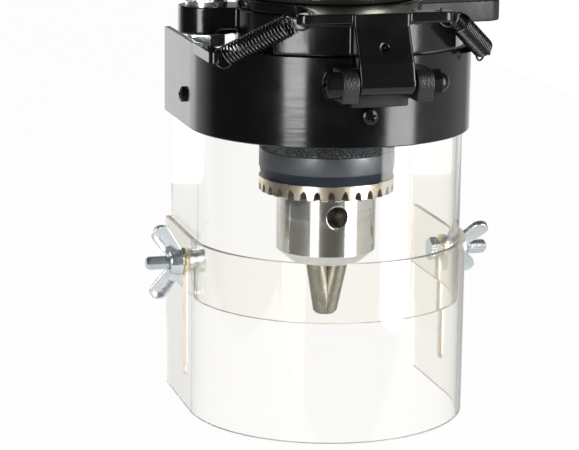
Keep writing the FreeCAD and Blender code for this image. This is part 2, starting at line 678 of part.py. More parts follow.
def hinge_screw():
    seat = HINGE_X - CLEVIS_HALF - BUSH_LENGTH - SEAT
    length = BUSH_LENGTH + 2 * CLEVIS_HALF + DOME_HEX_H
    return placed(pan_screw(PIN_R, length, PIN_HEAD_R, PIN_HEAD_H), V(seat, PIN_Y, PIN_Z), V(-1, 0, 0))


def hinge_bush():
    bush = ring(BUSH_R, PIN_R + SEAT, 0, BUSH_LENGTH)
    return placed(bush, V(HINGE_X - CLEVIS_HALF, PIN_Y, PIN_Z), V(-1, 0, 0))


def hinge_dome_nut():
    dome = Part.makeSphere(DOME_R, V(0, 0, DOME_HEX_H)).cut(Part.makeCylinder(DOME_R, DOME_R, V(0, 0, DOME_HEX_H - DOME_R)))
    nut = hexagon(DOME_FLATS, DOME_HEX_H).fuse(dome).removeSplitter()
    nut = nut.cut(Part.makeCylinder(PIN_R + SEAT, DOME_HEX_H + SEAT))
    return placed(nut, V(HINGE_X + CLEVIS_HALF, PIN_Y, PIN_Z), RIGHT, 10)


def ring_screws():
    length = RING_WALL + SHIELD_GAP + SHIELD_WALL + RING_NUT_H * 1.2
    screw = pan_screw(RING_SCREW_R, length, RING_SCREW_HEAD_R, RING_SCREW_HEAD_H)
    return [placed(screw, p, d, RING_SCREW_SPIN) for p, d in ring_screw_places()]


def ring_screw_nuts():
    nut = hex_nut(RING_NUT_FLATS, RING_NUT_H, RING_SCREW_R + SEAT)
    inner = UPPER_OUT - SHIELD_WALL
    corner = RING_NUT_FLATS / sqrt(3)
    nuts = []
    for place, outward in ring_screw_places():
        seat = sqrt(inner ** 2 - corner ** 2) if abs(outward.y) > 0 else inner
        nuts.append(placed(nut, place - outward * (RING_R - seat + RING_NUT_H), outward))
    return nuts


def upper_shield():
    body = u_wall(UPPER_OUT, SHIELD_WALL, UPPER_BOTTOM, UPPER_TOP)
    bolts = Part.makeCylinder(BOLT_R + SEAT, 2 * UPPER_OUT, V(-UPPER_OUT, BOLT_Y, BOLT_Z), RIGHT)
    return body.cut(ring_screw_holes() + [bolts])


def lower_shield():
    body = u_wall(LOWER_OUT, SHIELD_WALL, LOWER_BOTTOM, LOWER_TOP)
    slot = link(V(0, 0, 0), V(LOWER_TRAVEL + AIR, 0, 0), SLOT_R, SLOT_R, SHIELD_WALL * 3)
    turn = FreeCAD.Rotation(BACK, 90)
    slots = []
    for x in (-LOWER_OUT - SHIELD_WALL, LOWER_OUT - SHIELD_WALL * 2):
        cut = slot.copy()
        cut.Placement = FreeCAD.Placement(V(x, BOLT_Y, BOLT_Z), turn)
        slots.append(cut)
    return body.cut(slots)


CLAMP_X = LOWER_OUT + SLIDE_GAP / 2


def clamp_bolts():
    front = min(0.0, BOLT_Y - BOLT_HEAD_FLATS / sqrt(3))
    inner = sqrt((UPPER_OUT - SHIELD_WALL) ** 2 - front ** 2) - SEAT
    bolt = hex_nut(BOLT_HEAD_FLATS, BOLT_HEAD_H, SEAT)
    shank = LOWER_OUT + BOLT_STICKOUT - inner
    edge = BOLT_R * 0.25
    rod = revolved([(0, 0), (BOLT_R, 0), (BOLT_R, shank - edge), (BOLT_R - edge, shank), (0, shank)])
    rod.translate(V(0, 0, BOLT_HEAD_H))
    core = Part.makeCylinder(BOLT_R, BOLT_HEAD_H)
    whole = bolt.fuse([core, rod]).removeSplitter()
    start = inner - BOLT_HEAD_H
    return [placed(whole, V(side * start, BOLT_Y, BOLT_Z), V(side, 0, 0)) for side in (-1, 1)]


def clamp_washers():
    washer = ring(CLAMP_WASHER_R, BOLT_R + SEAT, 0, CLAMP_WASHER_T)
    return [placed(washer, V(side * CLAMP_X, BOLT_Y, BOLT_Z), V(side, 0, 0)) for side in (-1, 1)]


def wing_nut():
    """Wing nut drawn along +Z from its bearing face, wings along X."""
    hub = revolved([(0, 0), (WING_HUB_R, 0), (WING_HUB_TOP_R, WING_HUB_H), (0, WING_HUB_H)])
    root = V(WING_HUB_TOP_R, WING_ROOT_R + AIR, 0)
    tip = V(WING_SPAN / 2 - WING_TIP_R, WING_FLARE, 0)
    wing = link(root, tip, WING_ROOT_R, WING_TIP_R, WING_T)
    wing.translate(V(0, 0, -WING_T / 2))
    wing.rotate(V(0, 0, 0), RIGHT, 90)
    other = wing.copy()
    other.rotate(V(0, 0, 0), UP, 180)
    bore = Part.makeCylinder(BOLT_R + FIT, WING_HUB_H + WING_FLARE)
    return hub.fuse([wing, other]).removeSplitter().cut(bore)


def wing_nut_at(side, lean):
    x = side * (CLAMP_X + CLAMP_WASHER_T + FIT)
    return placed(wing_nut(), V(x, BOLT_Y, BOLT_Z), V(side, 0, 0), side * lean)


# Springs

def arc_from(start, heading, end):
    """Arc that leaves start along heading and ends at end, or a line where they are in line."""
    chord = end - start
    length = chord.Length
    along = chord * (1 / length)
    off = heading - along * heading.dot(along)
    if off.Length < 1e-6:
        return Part.LineSegment(start, end).toShape()
    turn = acos(max(-1.0, min(1.0, heading.dot(along))))
    off.normalize()
    middle = start + chord * 0.5 + off * (length / 2 * tan(turn / 2))
    return Part.Arc(start, middle, end).toShape()


def biarc(start, heading, end, final):
    """Two tangent arcs between two points with given directions."""
    chord, both = end - start, heading + final
    bend = 2 * (1 - heading.dot(final))
    across = chord.dot(both)
    if bend < 1e-9:
        reach = chord.dot(chord) / (2 * across)
    else:
        reach = (sqrt(across ** 2 + bend * chord.dot(chord)) - across) / bend
    joint = (start + heading * reach + end - final * reach) * 0.5
    after = end - final * reach - joint
    after.normalize()
    return [arc_from(start, heading, joint), arc_from(joint, after, end)]


def hook_shift(radius, thickness):
    """Distance from a hook's centre to its hole, where the wire crosses the plate's middle and faces evenly."""
    return (radius + sqrt(radius ** 2 - (thickness / 2) ** 2)) / 2


def spring_knots(side):
    """Points and directions along the wire, from the bar's hook to the tab's hook."""
    bar = V(BAR_X + side * (BAR_HOLE_HALF + hook_shift(BAR_HOOK_R, PLATE_T)), BAR_Y, BAR_Z)
    hole = V(side * TAB_X, TAB_Y, TAB_Z)
    level = V(hole.x - bar.x, hole.y - bar.y, 0)
    level.normalize()
    tab = hole - level * hook_shift(COIL_R, TAB_T)
    axis = tab - bar
    span = axis.Length
    axis.normalize()
    up = UP - axis * axis.z
    up.normalize()
    inward = axis.cross(up) * -side
    line_reach = abs(bar.x * level.y - bar.y * level.x)
    shift = max(COIL_SHIFT, RING_R + AIR + COIL_R + WIRE_R - line_reach)
    pitch = (span - COIL_START - HOOK_LEAD - shift) / SPRING_TURNS
    slope = pitch / (2 * pi * COIL_R)
    knots = []
    for i in range(BAR_HOOK_STEPS + 1):
        a = radians(BAR_HOOK_START + (360 - BAR_HOOK_START) * i / BAR_HOOK_STEPS)
        across = RIGHT * side
        knots.append((bar + (across * cos(a) + UP * sin(a)) * BAR_HOOK_R, UP * cos(a) - across * sin(a)))
    centre = bar - inward * shift + axis * COIL_START
    for i in range(2 * SPRING_TURNS + 1):
        a = pi * i
        radial, turn = up * cos(a) + inward * sin(a), inward * cos(a) - up * sin(a)
        direction = turn + axis * slope
        direction.normalize()
        knots.append((centre + radial * COIL_R + axis * (pitch * i / 2), direction))
    knots.append((tab + up * COIL_R - axis * HOOK_LEAD, axis * 1))
    for a in [60 * i for i in range(int(HOOK_TURN / 60) + 1)] + [HOOK_TURN]:
        c, s = cos(radians(a)), sin(radians(a))
        knots.append((tab + (up * c + axis * s) * COIL_R, axis * c - up * s))
    return knots


def least_gap(points, far):
    """Least distance between points of the wire that are far apart along it, less the wire."""
    least = None
    run = [0.0]
    for a, b in zip(points, points[1:]):
        run.append(run[-1] + (b - a).Length)
    for i in range(len(points)):
        for j in range(i + 1, len(points)):
            if run[j] - run[i] > far:
                gap = (points[j] - points[i]).Length
                least = gap if least is None else min(least, gap)
    return least - 2 * WIRE_R


def spring(side):
    knots = spring_knots(side)
    edges = []
    for (start, heading), (end, final) in zip(knots, knots[1:]):
        edges += biarc(start, heading, end, final)
    points = [edges[0].Vertexes[0].Point]
    for edge in edges:
        points += edge.discretize(6)[1:]
    print("spring least gap", round(least_gap(points, pi * COIL_R), 3))
    profile = Part.Wire(Part.makeCircle(WIRE_R, knots[0][0], knots[0][1]))
    return Part.Solid(Part.Wire(edges).makePipeShell([profile], True, False))


# Chuck

def chuck_body():
    tip = CHUCK_BACK - TAPER_LENGTH - SEAT
    socket = TAPER_R + SEAT
    edge = BACK_LIP * 0.5
    body = revolved([
        (NOSE_BORE_R, NOSE_FACE), (NOSE_FACE_R, NOSE_FACE), (NOSE_R, NOSE_EDGE), (NOSE_R, NUT_BOTTOM - SEAT),
        (NUT_GROOVE_R, NUT_BOTTOM - SEAT), (NUT_GROOVE_R, NUT_TOP + SEAT), (BODY_R, NUT_TOP + SEAT),
        (BODY_R, CHUCK_BACK - edge), (BODY_R - edge, CHUCK_BACK), (socket, CHUCK_BACK),
        (socket - TAPER_LENGTH * TAPER_SLOPE, tip), (NOSE_BORE_R, tip),
    ])
    cuts = []
    for i in range(JAWS):
        angle = KEY_ANGLE + 360 * (i + 0.5) / JAWS
        start = around(angle, jaw_offset(JAW_TIP), JAW_TIP)
        run = around(angle, SLANT, 1)
        cuts.append(Part.makeCylinder(JAW_R + FIT, (JAW_BORE_TOP - JAW_TIP) / cos(radians(JAW_SLANT)), start, run))
        key = around(KEY_ANGLE + 360 * i / JAWS, 1)
        mouth = key * NOSE_R + UP * (GEAR_Z - KEY_DROP)
        inward = key * -1
        cuts.append(Part.makeCylinder(KEY_R, KEY_DEPTH * 2, mouth + key * KEY_DEPTH, inward))
        cuts.append(Part.makeCone(KEY_R + 2 * KEY_CHAMFER, KEY_R, 2 * KEY_CHAMFER, mouth + key * KEY_CHAMFER * 0.4, inward))
    return body.cut(cuts)


def chuck_sleeve():
    edge = SLEEVE_CHAMFER
    return revolved([
        (SLEEVE_IN, GEAR_Z), (SLEEVE_R - edge * 0.5, GEAR_Z), (SLEEVE_R, GEAR_Z + edge),
        (SLEEVE_R, SLEEVE_TOP - edge), (SLEEVE_R - edge, SLEEVE_TOP), (SLEEVE_IN, SLEEVE_TOP),
    ])


def chuck_gear_ring():
    """Bevel ring for the chuck key, carrying the split nut on an inner lip."""
    edge = SLEEVE_CHAMFER * 0.4
    body = revolved([
        (NOSE_R + FIT, GEAR_BOTTOM), (SLEEVE_R - edge, GEAR_BOTTOM), (SLEEVE_R, GEAR_BOTTOM + edge),
        (SLEEVE_R, GEAR_Z), (SLEEVE_IN, GEAR_Z), (SLEEVE_IN, GEAR_BOTTOM + GEAR_LIP), (NOSE_R + FIT, GEAR_BOTTOM + GEAR_LIP),
    ])
    pitch = 2 * pi * SLEEVE_R / GEAR_TEETH
    far = SLEEVE_R * 1.08
    near = SLEEVE_IN
    rise = GEAR_TOOTH_H * (far - near) / (SLEEVE_R - near)
    low = GEAR_BOTTOM - GEAR_TOOTH_H * 0.3
    half = pitch * 0.36 * far / SLEEVE_R
    mouth = Part.makePolygon([V(half, -far, low), V(-half, -far, low), V(0, -far, GEAR_BOTTOM + rise), V(half, -far, low)])
    small = half * near / far * 0.4
    root = Part.makePolygon([V(small, -near, low), V(-small, -near, low), V(0, -near, low * 0.999), V(small, -near, low)])
    notch = Part.makeLoft([mouth, root], True, True)
    notches = [placed(notch, V(0, 0, 0), UP, GEAR_PHASE + 360 * i / GEAR_TEETH) for i in range(GEAR_TEETH)]
    return body.cut(Part.makeCompound(notches))


def chuck_nut():
    """Split nut: two half rings whose bore leans with the jaws' backs."""
    low = jaw_offset(NUT_BOTTOM) + JAW_EDGE + AIR / 2
    high = jaw_offset(NUT_TOP) + JAW_EDGE + AIR / 2
    outer = SLEEVE_IN - SEAT
    whole = revolved([(low, NUT_BOTTOM), (outer, NUT_BOTTOM), (outer, NUT_TOP), (high, NUT_TOP)])
    saw = Part.makeBox(2 * SLEEVE_R, NUT_SPLIT, NUT_H, V(-SLEEVE_R, -NUT_SPLIT / 2, NUT_BOTTOM))
    return whole.cut(saw).Solids


def jaw(number):
    angle = KEY_ANGLE + 360 * (number - 0.5) / JAWS
    start = around(angle, jaw_offset(JAW_TIP - JAW_R), JAW_TIP - JAW_R)
    run = around(angle, SLANT, 1)
    length = (JAW_TOP - JAW_TIP + 3 * JAW_R) / cos(radians(JAW_SLANT))
    height = JAW_TOP - JAW_TIP
    apex = around(angle, JAW_FACE_GAP / cos(radians(30)), JAW_TIP)
    reach = SLEEVE_R * 2
    corners = [apex, apex + around(angle - 60, reach), apex + around(angle, 2 * reach), apex + around(angle + 60, reach)]
    wedge = Part.Face(Part.makePolygon(corners + corners[:1])).extrude(UP * height)
    tip = revolved([(0, JAW_TIP), (JAW_TIP_R, JAW_TIP), (JAW_TIP_R + height, JAW_TOP), (0, JAW_TOP)])
    return Part.makeCylinder(JAW_R, length, start, run).common(wedge).common(tip)


def main():
    os.makedirs("parts", exist_ok=True)
    save("quill_sleeve", quill_sleeve())
    bearings = {
        "lower_bearing": (LOWER_BEARING_R, LOWER_BEARING_OUT_R, LOWER_BEARING_Z, LOWER_BEARING_W),
        "upper_bearing": (UPPER_BEARING_R, UPPER_BEARING_OUT_R, UPPER_BEARING_Z, UPPER_BEARING_W),
    }
    for name, sizes in bearings.items():
        outer, inner, balls, cage = bearing(*sizes)
        save(name + "_outer", outer)
        save(name + "_inner", inner)
        save(name + "_balls", *balls)
        save(name + "_cage", cage)
    save("bearing_cover", bearing_cover())
    save("spindle", spindle())
    save("spindle_lock_nut", lock_nut())
    save("quill_collar", quill_collar())
    save("pinch_screw", pinch_screw())
    save("depth_rod", depth_rod())
    save("depth_rod_nuts", *depth_rod_nuts())
    save("depth_rod_washer", depth_rod_washer())
    save("guard_bracket", guard_bracket())
    save("bracket_screws", *bracket_screws())
    save("guard_ring", guard_ring())
    save("hinge_clevis", hinge_clevis())
    save("clevis_screws", *clevis_screws())
    save("hinge_screw", hinge_screw())
    save("hinge_bush", hinge_bush())
    save("hinge_dome_nut", hinge_dome_nut())
    save("ring_screws", *ring_screws())
    save("ring_screw_nuts", *ring_screw_nuts())
    save("upper_shield", upper_shield())
    save("lower_shield", lower_shield())
    save("clamp_bolts", *clamp_bolts())
    save("clamp_washers", *clamp_washers())
    save("wing_nut_left", wing_nut_at(-1, WING_LEAN_LEFT))
    save("wing_nut_right", wing_nut_at(1, WING_LEAN_RIGHT))
    save("spring_left", spring(-1))
    save("spring_right", spring(1))
    save("chuck_body", chuck_body())
    save("chuck_sleeve", chuck_sleeve())
    save("chuck_gear_ring", chuck_gear_ring())
    save("chuck_nut", *chuck_nut())
    for number in range(1, JAWS + 1):
        save("jaw_" + str(number), jaw(number))
    print("jaw travel along the chuck axis", round(JAW_TRAVEL, 2))
    print("lower shield travel", round(LOWER_TRAVEL, 2))


main()
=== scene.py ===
# %% [markdown]
# # Drill press spindle nose with a hinged chuck guard
# The solids come in as a fixed frame, in metres, with +Z up the spindle. This lesson gives them their
# finishes, adds what the solids leave plain (wire springs, knurling, threads, rounded castings), and sets
# the light and the camera.

# %% Load the frame
import bpy
import bmesh
import json
from math import cos, pi, radians, sin, sqrt
from mathutils import Matrix, Vector


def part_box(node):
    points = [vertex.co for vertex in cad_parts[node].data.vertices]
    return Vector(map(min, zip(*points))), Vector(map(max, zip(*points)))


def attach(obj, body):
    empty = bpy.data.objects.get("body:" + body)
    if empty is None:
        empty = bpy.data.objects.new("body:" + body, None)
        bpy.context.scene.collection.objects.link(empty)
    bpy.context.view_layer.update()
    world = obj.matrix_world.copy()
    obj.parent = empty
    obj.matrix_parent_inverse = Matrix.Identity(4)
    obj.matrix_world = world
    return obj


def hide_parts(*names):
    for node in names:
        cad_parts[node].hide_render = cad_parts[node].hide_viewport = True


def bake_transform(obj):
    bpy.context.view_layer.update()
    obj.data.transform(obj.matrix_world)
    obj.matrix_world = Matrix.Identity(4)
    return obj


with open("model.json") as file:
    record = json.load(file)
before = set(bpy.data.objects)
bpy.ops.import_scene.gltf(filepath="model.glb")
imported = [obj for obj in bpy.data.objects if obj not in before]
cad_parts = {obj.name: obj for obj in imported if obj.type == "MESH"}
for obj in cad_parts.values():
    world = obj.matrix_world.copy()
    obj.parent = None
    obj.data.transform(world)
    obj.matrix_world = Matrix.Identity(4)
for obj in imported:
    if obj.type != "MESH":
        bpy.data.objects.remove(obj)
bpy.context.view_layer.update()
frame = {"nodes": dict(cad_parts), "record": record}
nodes = frame["nodes"]
scene = bpy.context.scene
MM = 0.001

# %% [markdown]
# ## The camera
# The photograph was taken from a little to the left of the front and from above, with a long lens. The
# place, the heading and the roll below make the turned rings of the guard and the chuck fall on their
# outlines. The lens is given for a frame 579 pixels wide on Blender's 36 mm sensor.

# %% Camera
FRAME_WIDTH, FOCAL_PIXELS, SENSOR = 579, 2301.0, 36.0
CAMERA_DISTANCE, CAMERA_HEIGHT = 0.8826, 0.0949
CAMERA_AZIMUTH, CAMERA_YAW = radians(16.5), -0.01616
CAMERA_PITCH, CAMERA_ROLL = 0.21687, 0.01127


def new_object(name, data):
    """An object with the given data, linked to the scene."""
    made = bpy.data.objects.new(name, data)
    scene.collection.objects.link(made)
    return made


lens = bpy.data.cameras.new("camera")
lens.sensor_width = SENSOR
lens.lens = FOCAL_PIXELS / FRAME_WIDTH * SENSOR
camera = new_object("camera", lens)
place = Vector((-sin(CAMERA_AZIMUTH), -cos(CAMERA_AZIMUTH), 0)) * CAMERA_DISTANCE
place.z = CAMERA_HEIGHT
heading = Matrix.Rotation(-(CAMERA_AZIMUTH + CAMERA_YAW), 4, "Z")
pitch = Matrix.Rotation(pi / 2 - CAMERA_PITCH, 4, "X")
roll = Matrix.Rotation(CAMERA_ROLL, 4, "Z")
camera.matrix_world = Matrix.Translation(place) @ heading @ pitch @ roll
scene.camera = camera
scene.view_settings.view_transform = "Standard"
print("lens", round(lens.lens, 2), "mm")

# %% [markdown]
# ## Helpers for materials
# Colours are picked as hex values, as a paint chart gives them, and Blender wants linear light, so one
# function turns them. Another adds a node with its settings and links, and `start` opens a material.


# %% Material helpers
def colour(hex_value):
    """The linear light of an sRGB hex value, with full alpha."""
    parts = [int(hex_value[i:i + 2], 16) / 255 for i in (1, 3, 5)]
    return (*(c / 12.92 if c <= 0.04045 else ((c + 0.055) / 1.055) ** 2.4 for c in parts), 1.0)


def feed(tree, node, inputs):
    """Fills a node's inputs. A node or a socket is linked, a list of them one by one, the rest is set."""
    for key, value in inputs.items():
        for one in value if isinstance(value, list) else [value]:
            if isinstance(one, bpy.types.Node):
                one = one.outputs[0]
            if isinstance(one, bpy.types.NodeSocket):
                tree.links.new(one, node.inputs[key])
            else:
                node.inputs[key].default_value = one


def add(tree, kind, inputs=None, **settings):
    """Adds a node with its settings and fills its inputs."""
    made = tree.nodes.new(kind)
    for name, value in settings.items():
        setattr(made, name, value)
    feed(tree, made, inputs or {})
    return made


def start(name, **values):
    """A material with its Principled shader's plain values set."""
    made = bpy.data.materials.new(name)
    made.use_nodes = True
    shader = made.node_tree.nodes["Principled BSDF"]
    feed(made.node_tree, shader, {key.replace("_", " "): value for key, value in values.items()})
    return made, made.node_tree, shader


WHITE = colour("#ffffff")
print("a mid grey is", round(colour("#808080")[0], 3), "in linear light")

# %% [markdown]
# ## White studio
# The photograph has a plain white background with no floor in view. The world is white to the camera, also
# through clear plastic. In mirrors it is white low down behind the guard, pale on the right, and dim above,
# in front and on the left, and that is what keeps the gloss blacks black. Each of these changes is a smooth
# fade along one axis of the view's direction.

# %% World
ROOM_DIM, ROOM_RIGHT, ROOM_ABOVE, ROOM_FILL = 0.07, 0.6, 0.3, 0.32
# For each axis: where its fade starts and ends, and the brightness at both ends.
ROOM_FADES = {
    "Y": (0.45, 0.9, ROOM_DIM, 1.0),
    "X": (0.55, 0.95, ROOM_DIM, ROOM_RIGHT),
    "Z": (-0.02, 0.14, 1.0, ROOM_ABOVE),
}
HALF_A_BOUNCE = 0.5


def seen_straight(tree):
    """1 where the camera looks, also through clear plastic, and a second value that is 1 in mirrors."""
    path = add(tree, "ShaderNodeLightPath").outputs
    depths = {0: path["Glossy Depth"], 1: path["Diffuse Depth"]}
    bounces = add(tree, "ShaderNodeMath", depths, operation="ADD")
    straight = add(tree, "ShaderNodeMath", {0: bounces, 1: HALF_A_BOUNCE}, operation="LESS_THAN")
    through = add(tree, "ShaderNodeMath", {0: path["Is Transmission Ray"], 1: straight}, operation="MULTIPLY")
    seen = add(tree, "ShaderNodeMath", {0: path["Is Camera Ray"], 1: through}, operation="MAXIMUM")
    glossy = {0: path["Is Glossy Ray"], 1: path["Glossy Depth"]}
    mirror = add(tree, "ShaderNodeMath", glossy, operation="MAXIMUM", use_clamp=True)
    return seen, mirror


world = bpy.data.worlds.new("studio")
scene.world = world
world.use_nodes = True
tree = world.node_tree
seen, mirror = seen_straight(tree)
direction = add(tree, "ShaderNodeTexCoord").outputs["Generated"]
along = add(tree, "ShaderNodeSeparateXYZ", {0: direction}).outputs
fades = {}
for axis, limits in ROOM_FADES.items():
    ends = dict(zip(("From Min", "From Max", "To Min", "To Max"), limits))
    ends["Value"] = along[axis]
    fades[axis] = add(tree, "ShaderNodeMapRange", ends, interpolation_type="SMOOTHSTEP")
walls = add(tree, "ShaderNodeMath", {0: fades["Y"], 1: fades["X"]}, operation="MAXIMUM")
walls = add(tree, "ShaderNodeMath", {0: walls, 1: fades["Z"]}, operation="MULTIPLY")
lit = add(tree, "ShaderNodeMix", {"Factor": mirror, "A": ROOM_FILL, "B": walls})
shown = add(tree, "ShaderNodeMix", {"Factor": seen, "A": lit, "B": 1.0})
feed(tree, tree.nodes["Background"], {"Color": WHITE, "Strength": shown})
print("world:", len(tree.nodes), "nodes")

# %% [markdown]
# The floor lies well below the guard and holds a faint shadow. To the camera it glows almost as white as the
# background, so that no edge shows, and mirrors see only a part of that glow.

# %% Floor
FLOOR_Z, FLOOR_FRONT, FLOOR_BACK, FLOOR_HALF = -0.34, -0.55, 4.0, 0.8
FLOOR_GLOW, FLOOR_MIRRORED = 0.97, 0.35
paper, tree, shader = start("white_paper_sweep", Base_Color=colour("#f4f4f2"), Roughness=0.9)
seen, mirror = seen_straight(tree)
shine = add(tree, "ShaderNodeMath", {0: mirror, 1: FLOOR_MIRRORED}, operation="MULTIPLY")
plain = add(tree, "ShaderNodeMath", {0: seen, 1: FLOOR_GLOW}, operation="MULTIPLY")
share = add(tree, "ShaderNodeMath", {0: plain, 1: shine}, operation="MAXIMUM")
glow = add(tree, "ShaderNodeEmission", {"Color": WHITE, "Strength": 1.0})
mixed = add(tree, "ShaderNodeMixShader", {0: share, 1: shader, 2: glow})
feed(tree, tree.nodes["Material Output"], {"Surface": mixed})

sheet = bpy.data.meshes.new("floor")
front = [(-FLOOR_HALF, FLOOR_FRONT, FLOOR_Z), (FLOOR_HALF, FLOOR_FRONT, FLOOR_Z)]
back = [(FLOOR_HALF, FLOOR_BACK, FLOOR_Z), (-FLOOR_HALF, FLOOR_BACK, FLOOR_Z)]
sheet.from_pydata(front + back, [], [(0, 1, 2, 3)])
sheet.materials.append(paper)
floor = new_object("floor", sheet)
print("floor", FLOOR_BACK - FLOOR_FRONT, "m deep")

# %% [markdown]
# Two tall soft boxes stand left and right of the camera: they are the upright bright bands on the guard's
# ring and on the chuck. A low strip under the left one gives the chuck its left band, without a veil on the
# sleeve above it. A box behind on the left brightens the ring's left flat.

# %% Lamps
SOFT_BOXES = {
    "soft_box_left": dict(azimuth=-42.0, width=0.34, height=1.06, distance=1.15, z=0.275, watts=13.0),
    "soft_box_right": dict(azimuth=43.0, width=0.5, height=1.25, distance=1.15, z=0.2, watts=18.0),
    "strip_low": dict(azimuth=-42.0, width=0.4, height=0.19, distance=1.15, z=-0.41, watts=0.4),
    "soft_box_back": dict(azimuth=-163.0, width=0.7, height=0.8, distance=1.3, z=0.05, watts=2.2),
}
for name, box in SOFT_BOXES.items():
    lamp = bpy.data.lights.new(name, "AREA")
    lamp.shape = "RECTANGLE"
    lamp.size, lamp.size_y, lamp.energy = box["width"], box["height"], box["watts"]
    stand = new_object(name, lamp)
    turn = radians(box["azimuth"])
    stand.location = (sin(turn) * box["distance"], -cos(turn) * box["distance"], box["z"])
    aim = Vector((0, 0, box["z"])) - stand.location
    stand.rotation_euler = aim.to_track_quat("-Z", "Y").to_euler()
    stand.visible_camera = False
print("lamps", ", ".join(SOFT_BOXES))

# %% [markdown]
# ## Steel that came off a lathe
# The quill's flange, the chuck's body and the spindle are turned: the tool leaves fine rings around the
# axis, which stretch a highlight across them. The rings vary with the distance from the axis and with
# height, so the pattern reads those two numbers, and a wide cloud varies the colour over it. Real rings are
# about 0.05 mm apart; they are drawn a few times coarser here, so that they show at all.

# %% Turned steels
RING_SPACING, RING_DEPTH, CLOUD_WIDTH = 0.35, 0.02, 11.1
LINES_LOW, LINES_HIGH, TINT_LOW, TINT_HIGH, UNEVEN = 0.3, 0.7, 0.12, 0.4, 0.1
LEVEL = (1, 1, 0)


def turned(name, light, dark, rough, bump, spacing=RING_SPACING):
    """A metal with rings around the spindle's axis, spaced in millimetres."""
    made, tree, shader = start(name, Metallic=1.0)
    coords = add(tree, "ShaderNodeTexCoord").outputs["Object"]
    flat = add(tree, "ShaderNodeVectorMath", {0: coords, 1: LEVEL}, operation="MULTIPLY")
    radius = add(tree, "ShaderNodeVectorMath", {0: flat}, operation="LENGTH").outputs["Value"]
    height = add(tree, "ShaderNodeSeparateXYZ", {0: coords}).outputs["Z"]
    rings = add(tree, "ShaderNodeCombineXYZ", {"X": radius, "Z": height})
    lines = add(tree, "ShaderNodeTexNoise", {"Vector": rings, "Scale": 1 / (spacing * MM), "Detail": 3.0})
    cloud = add(tree, "ShaderNodeTexNoise", {
        "Vector": coords, "Scale": 1 / (CLOUD_WIDTH * MM), "Detail": 4.0})
    both = add(tree, "ShaderNodeMath", {0: lines, 1: cloud}, operation="MULTIPLY")
    tint = add(tree, "ShaderNodeMapRange", {"Value": both, "From Min": TINT_LOW, "From Max": TINT_HIGH})
    mixed = add(tree, "ShaderNodeMix", {"Factor": tint, "A": colour(dark), "B": colour(light)},
                data_type="RGBA")
    grip = add(tree, "ShaderNodeMapRange", {
        "Value": lines, "From Min": LINES_LOW, "From Max": LINES_HIGH,
        "To Min": rough * (1 - UNEVEN), "To Max": rough * (1 + UNEVEN)})
    relief = add(tree, "ShaderNodeBump", {"Height": lines, "Strength": bump, "Distance": RING_DEPTH * MM})
    feed(tree, shader, {"Base Color": mixed.outputs["Result"], "Roughness": grip, "Normal": relief})
    return made


# Bright turned steel: upright highlights that run down the whole chuck, hardly any colour.
bright_steel = turned("bright_turned_steel", "#efeeec", "#e3e1de", rough=0.13, bump=0.05)
# Ground steel with oil on it: duller, a little green, with rings wide enough to see.
flange_steel = turned("oily_ground_steel", "#b0b0a3", "#919186", rough=0.3, bump=0.3, spacing=0.6)
# Bearing steel, ground and polished: close to a mirror.
ground_steel = turned("polished_bearing_steel", "#e9eaec", "#cfd1d4", rough=0.1, bump=0.08)
# Pressed brass of the ball cages: warm and satin.
cage_brass = turned("satin_brass", "#d0b06a", "#a88846", rough=0.35, bump=0.15)
print("turned finishes ready")

# %% [markdown]
# ## Black finishes
# Many blacks meet on the guard and each takes light in its own way. The castings carry gloss paint with a
# slight orange peel, rubbed satin where hands hold it. The hinge clevis is painted over its sand-cast skin,
# so it is grainy. The guard's ring is moulded plastic with faint level streaks from the mould. The screws,
# the springs and the chuck's sleeve are steel blackened in hot salts, which stay a little metallic and turn
# grey where hands rub them. One function makes them all, from a fine grain and wide worn patches.

# %% Blacks
PATCH_WIDTH, WORN_LOW, WORN_HIGH = 16.7, 0.52, 0.8
SHEEN_LOW, SHEEN_HIGH, SMOOTHER, ROUGHER = 0.35, 0.75, 0.8, 1.3


def grainy(name, base, worn, rough, grain, relief, depth, stretch=(1, 1, 1), **values):
    """A colour with a second one in its worn spots, over a grain with its width and depth in millimetres."""
    made, tree, shader = start(name, **values)
    coords = add(tree, "ShaderNodeTexCoord").outputs["Object"]
    pulled = add(tree, "ShaderNodeMapping", {"Vector": coords, "Scale": stretch})
    skin = add(tree, "ShaderNodeTexNoise", {"Vector": pulled, "Scale": 1 / (grain * MM), "Detail": 3.0})
    patches = add(tree, "ShaderNodeTexNoise", {
        "Vector": coords, "Scale": 1 / (PATCH_WIDTH * MM), "Detail": 5.0, "Roughness": 0.6})
    wear = add(tree, "ShaderNodeMapRange", {"Value": patches, "From Min": WORN_LOW, "From Max": WORN_HIGH})
    mixed = add(tree, "ShaderNodeMix", {"Factor": wear, "A": colour(base), "B": colour(worn)},
                data_type="RGBA")
    sheen = add(tree, "ShaderNodeMapRange", {
        "Value": patches, "From Min": SHEEN_LOW, "From Max": SHEEN_HIGH,
        "To Min": rough * SMOOTHER, "To Max": rough * ROUGHER})
    bump = add(tree, "ShaderNodeBump", {"Height": skin, "Strength": relief, "Distance": depth * MM})
    feed(tree, shader, {"Base Color": mixed.outputs["Result"], "Roughness": sheen, "Normal": bump})
    return made


# Gloss paint on castings: deep black, with reflections that wander a little over the uneven skin.
gloss_paint = grainy("gloss_black_paint", "#08080a", "#101011",
                     rough=0.17, grain=9.0, relief=0.2, depth=0.6)
# The same paint where hands have rubbed it: satin.
rubbed_paint = grainy("rubbed_black_paint", "#08080a", "#101011",
                      rough=0.48, grain=0.8, relief=0.25, depth=0.08)
# Dull black between the clevis ears, darker than the sand paint: painted shade where the plate lies in shade.
shade_painted_matte = grainy("dull_black_painted_shade", "#090909", "#11110f",
                     rough=0.62, grain=0.8, relief=0.3, depth=0.1)
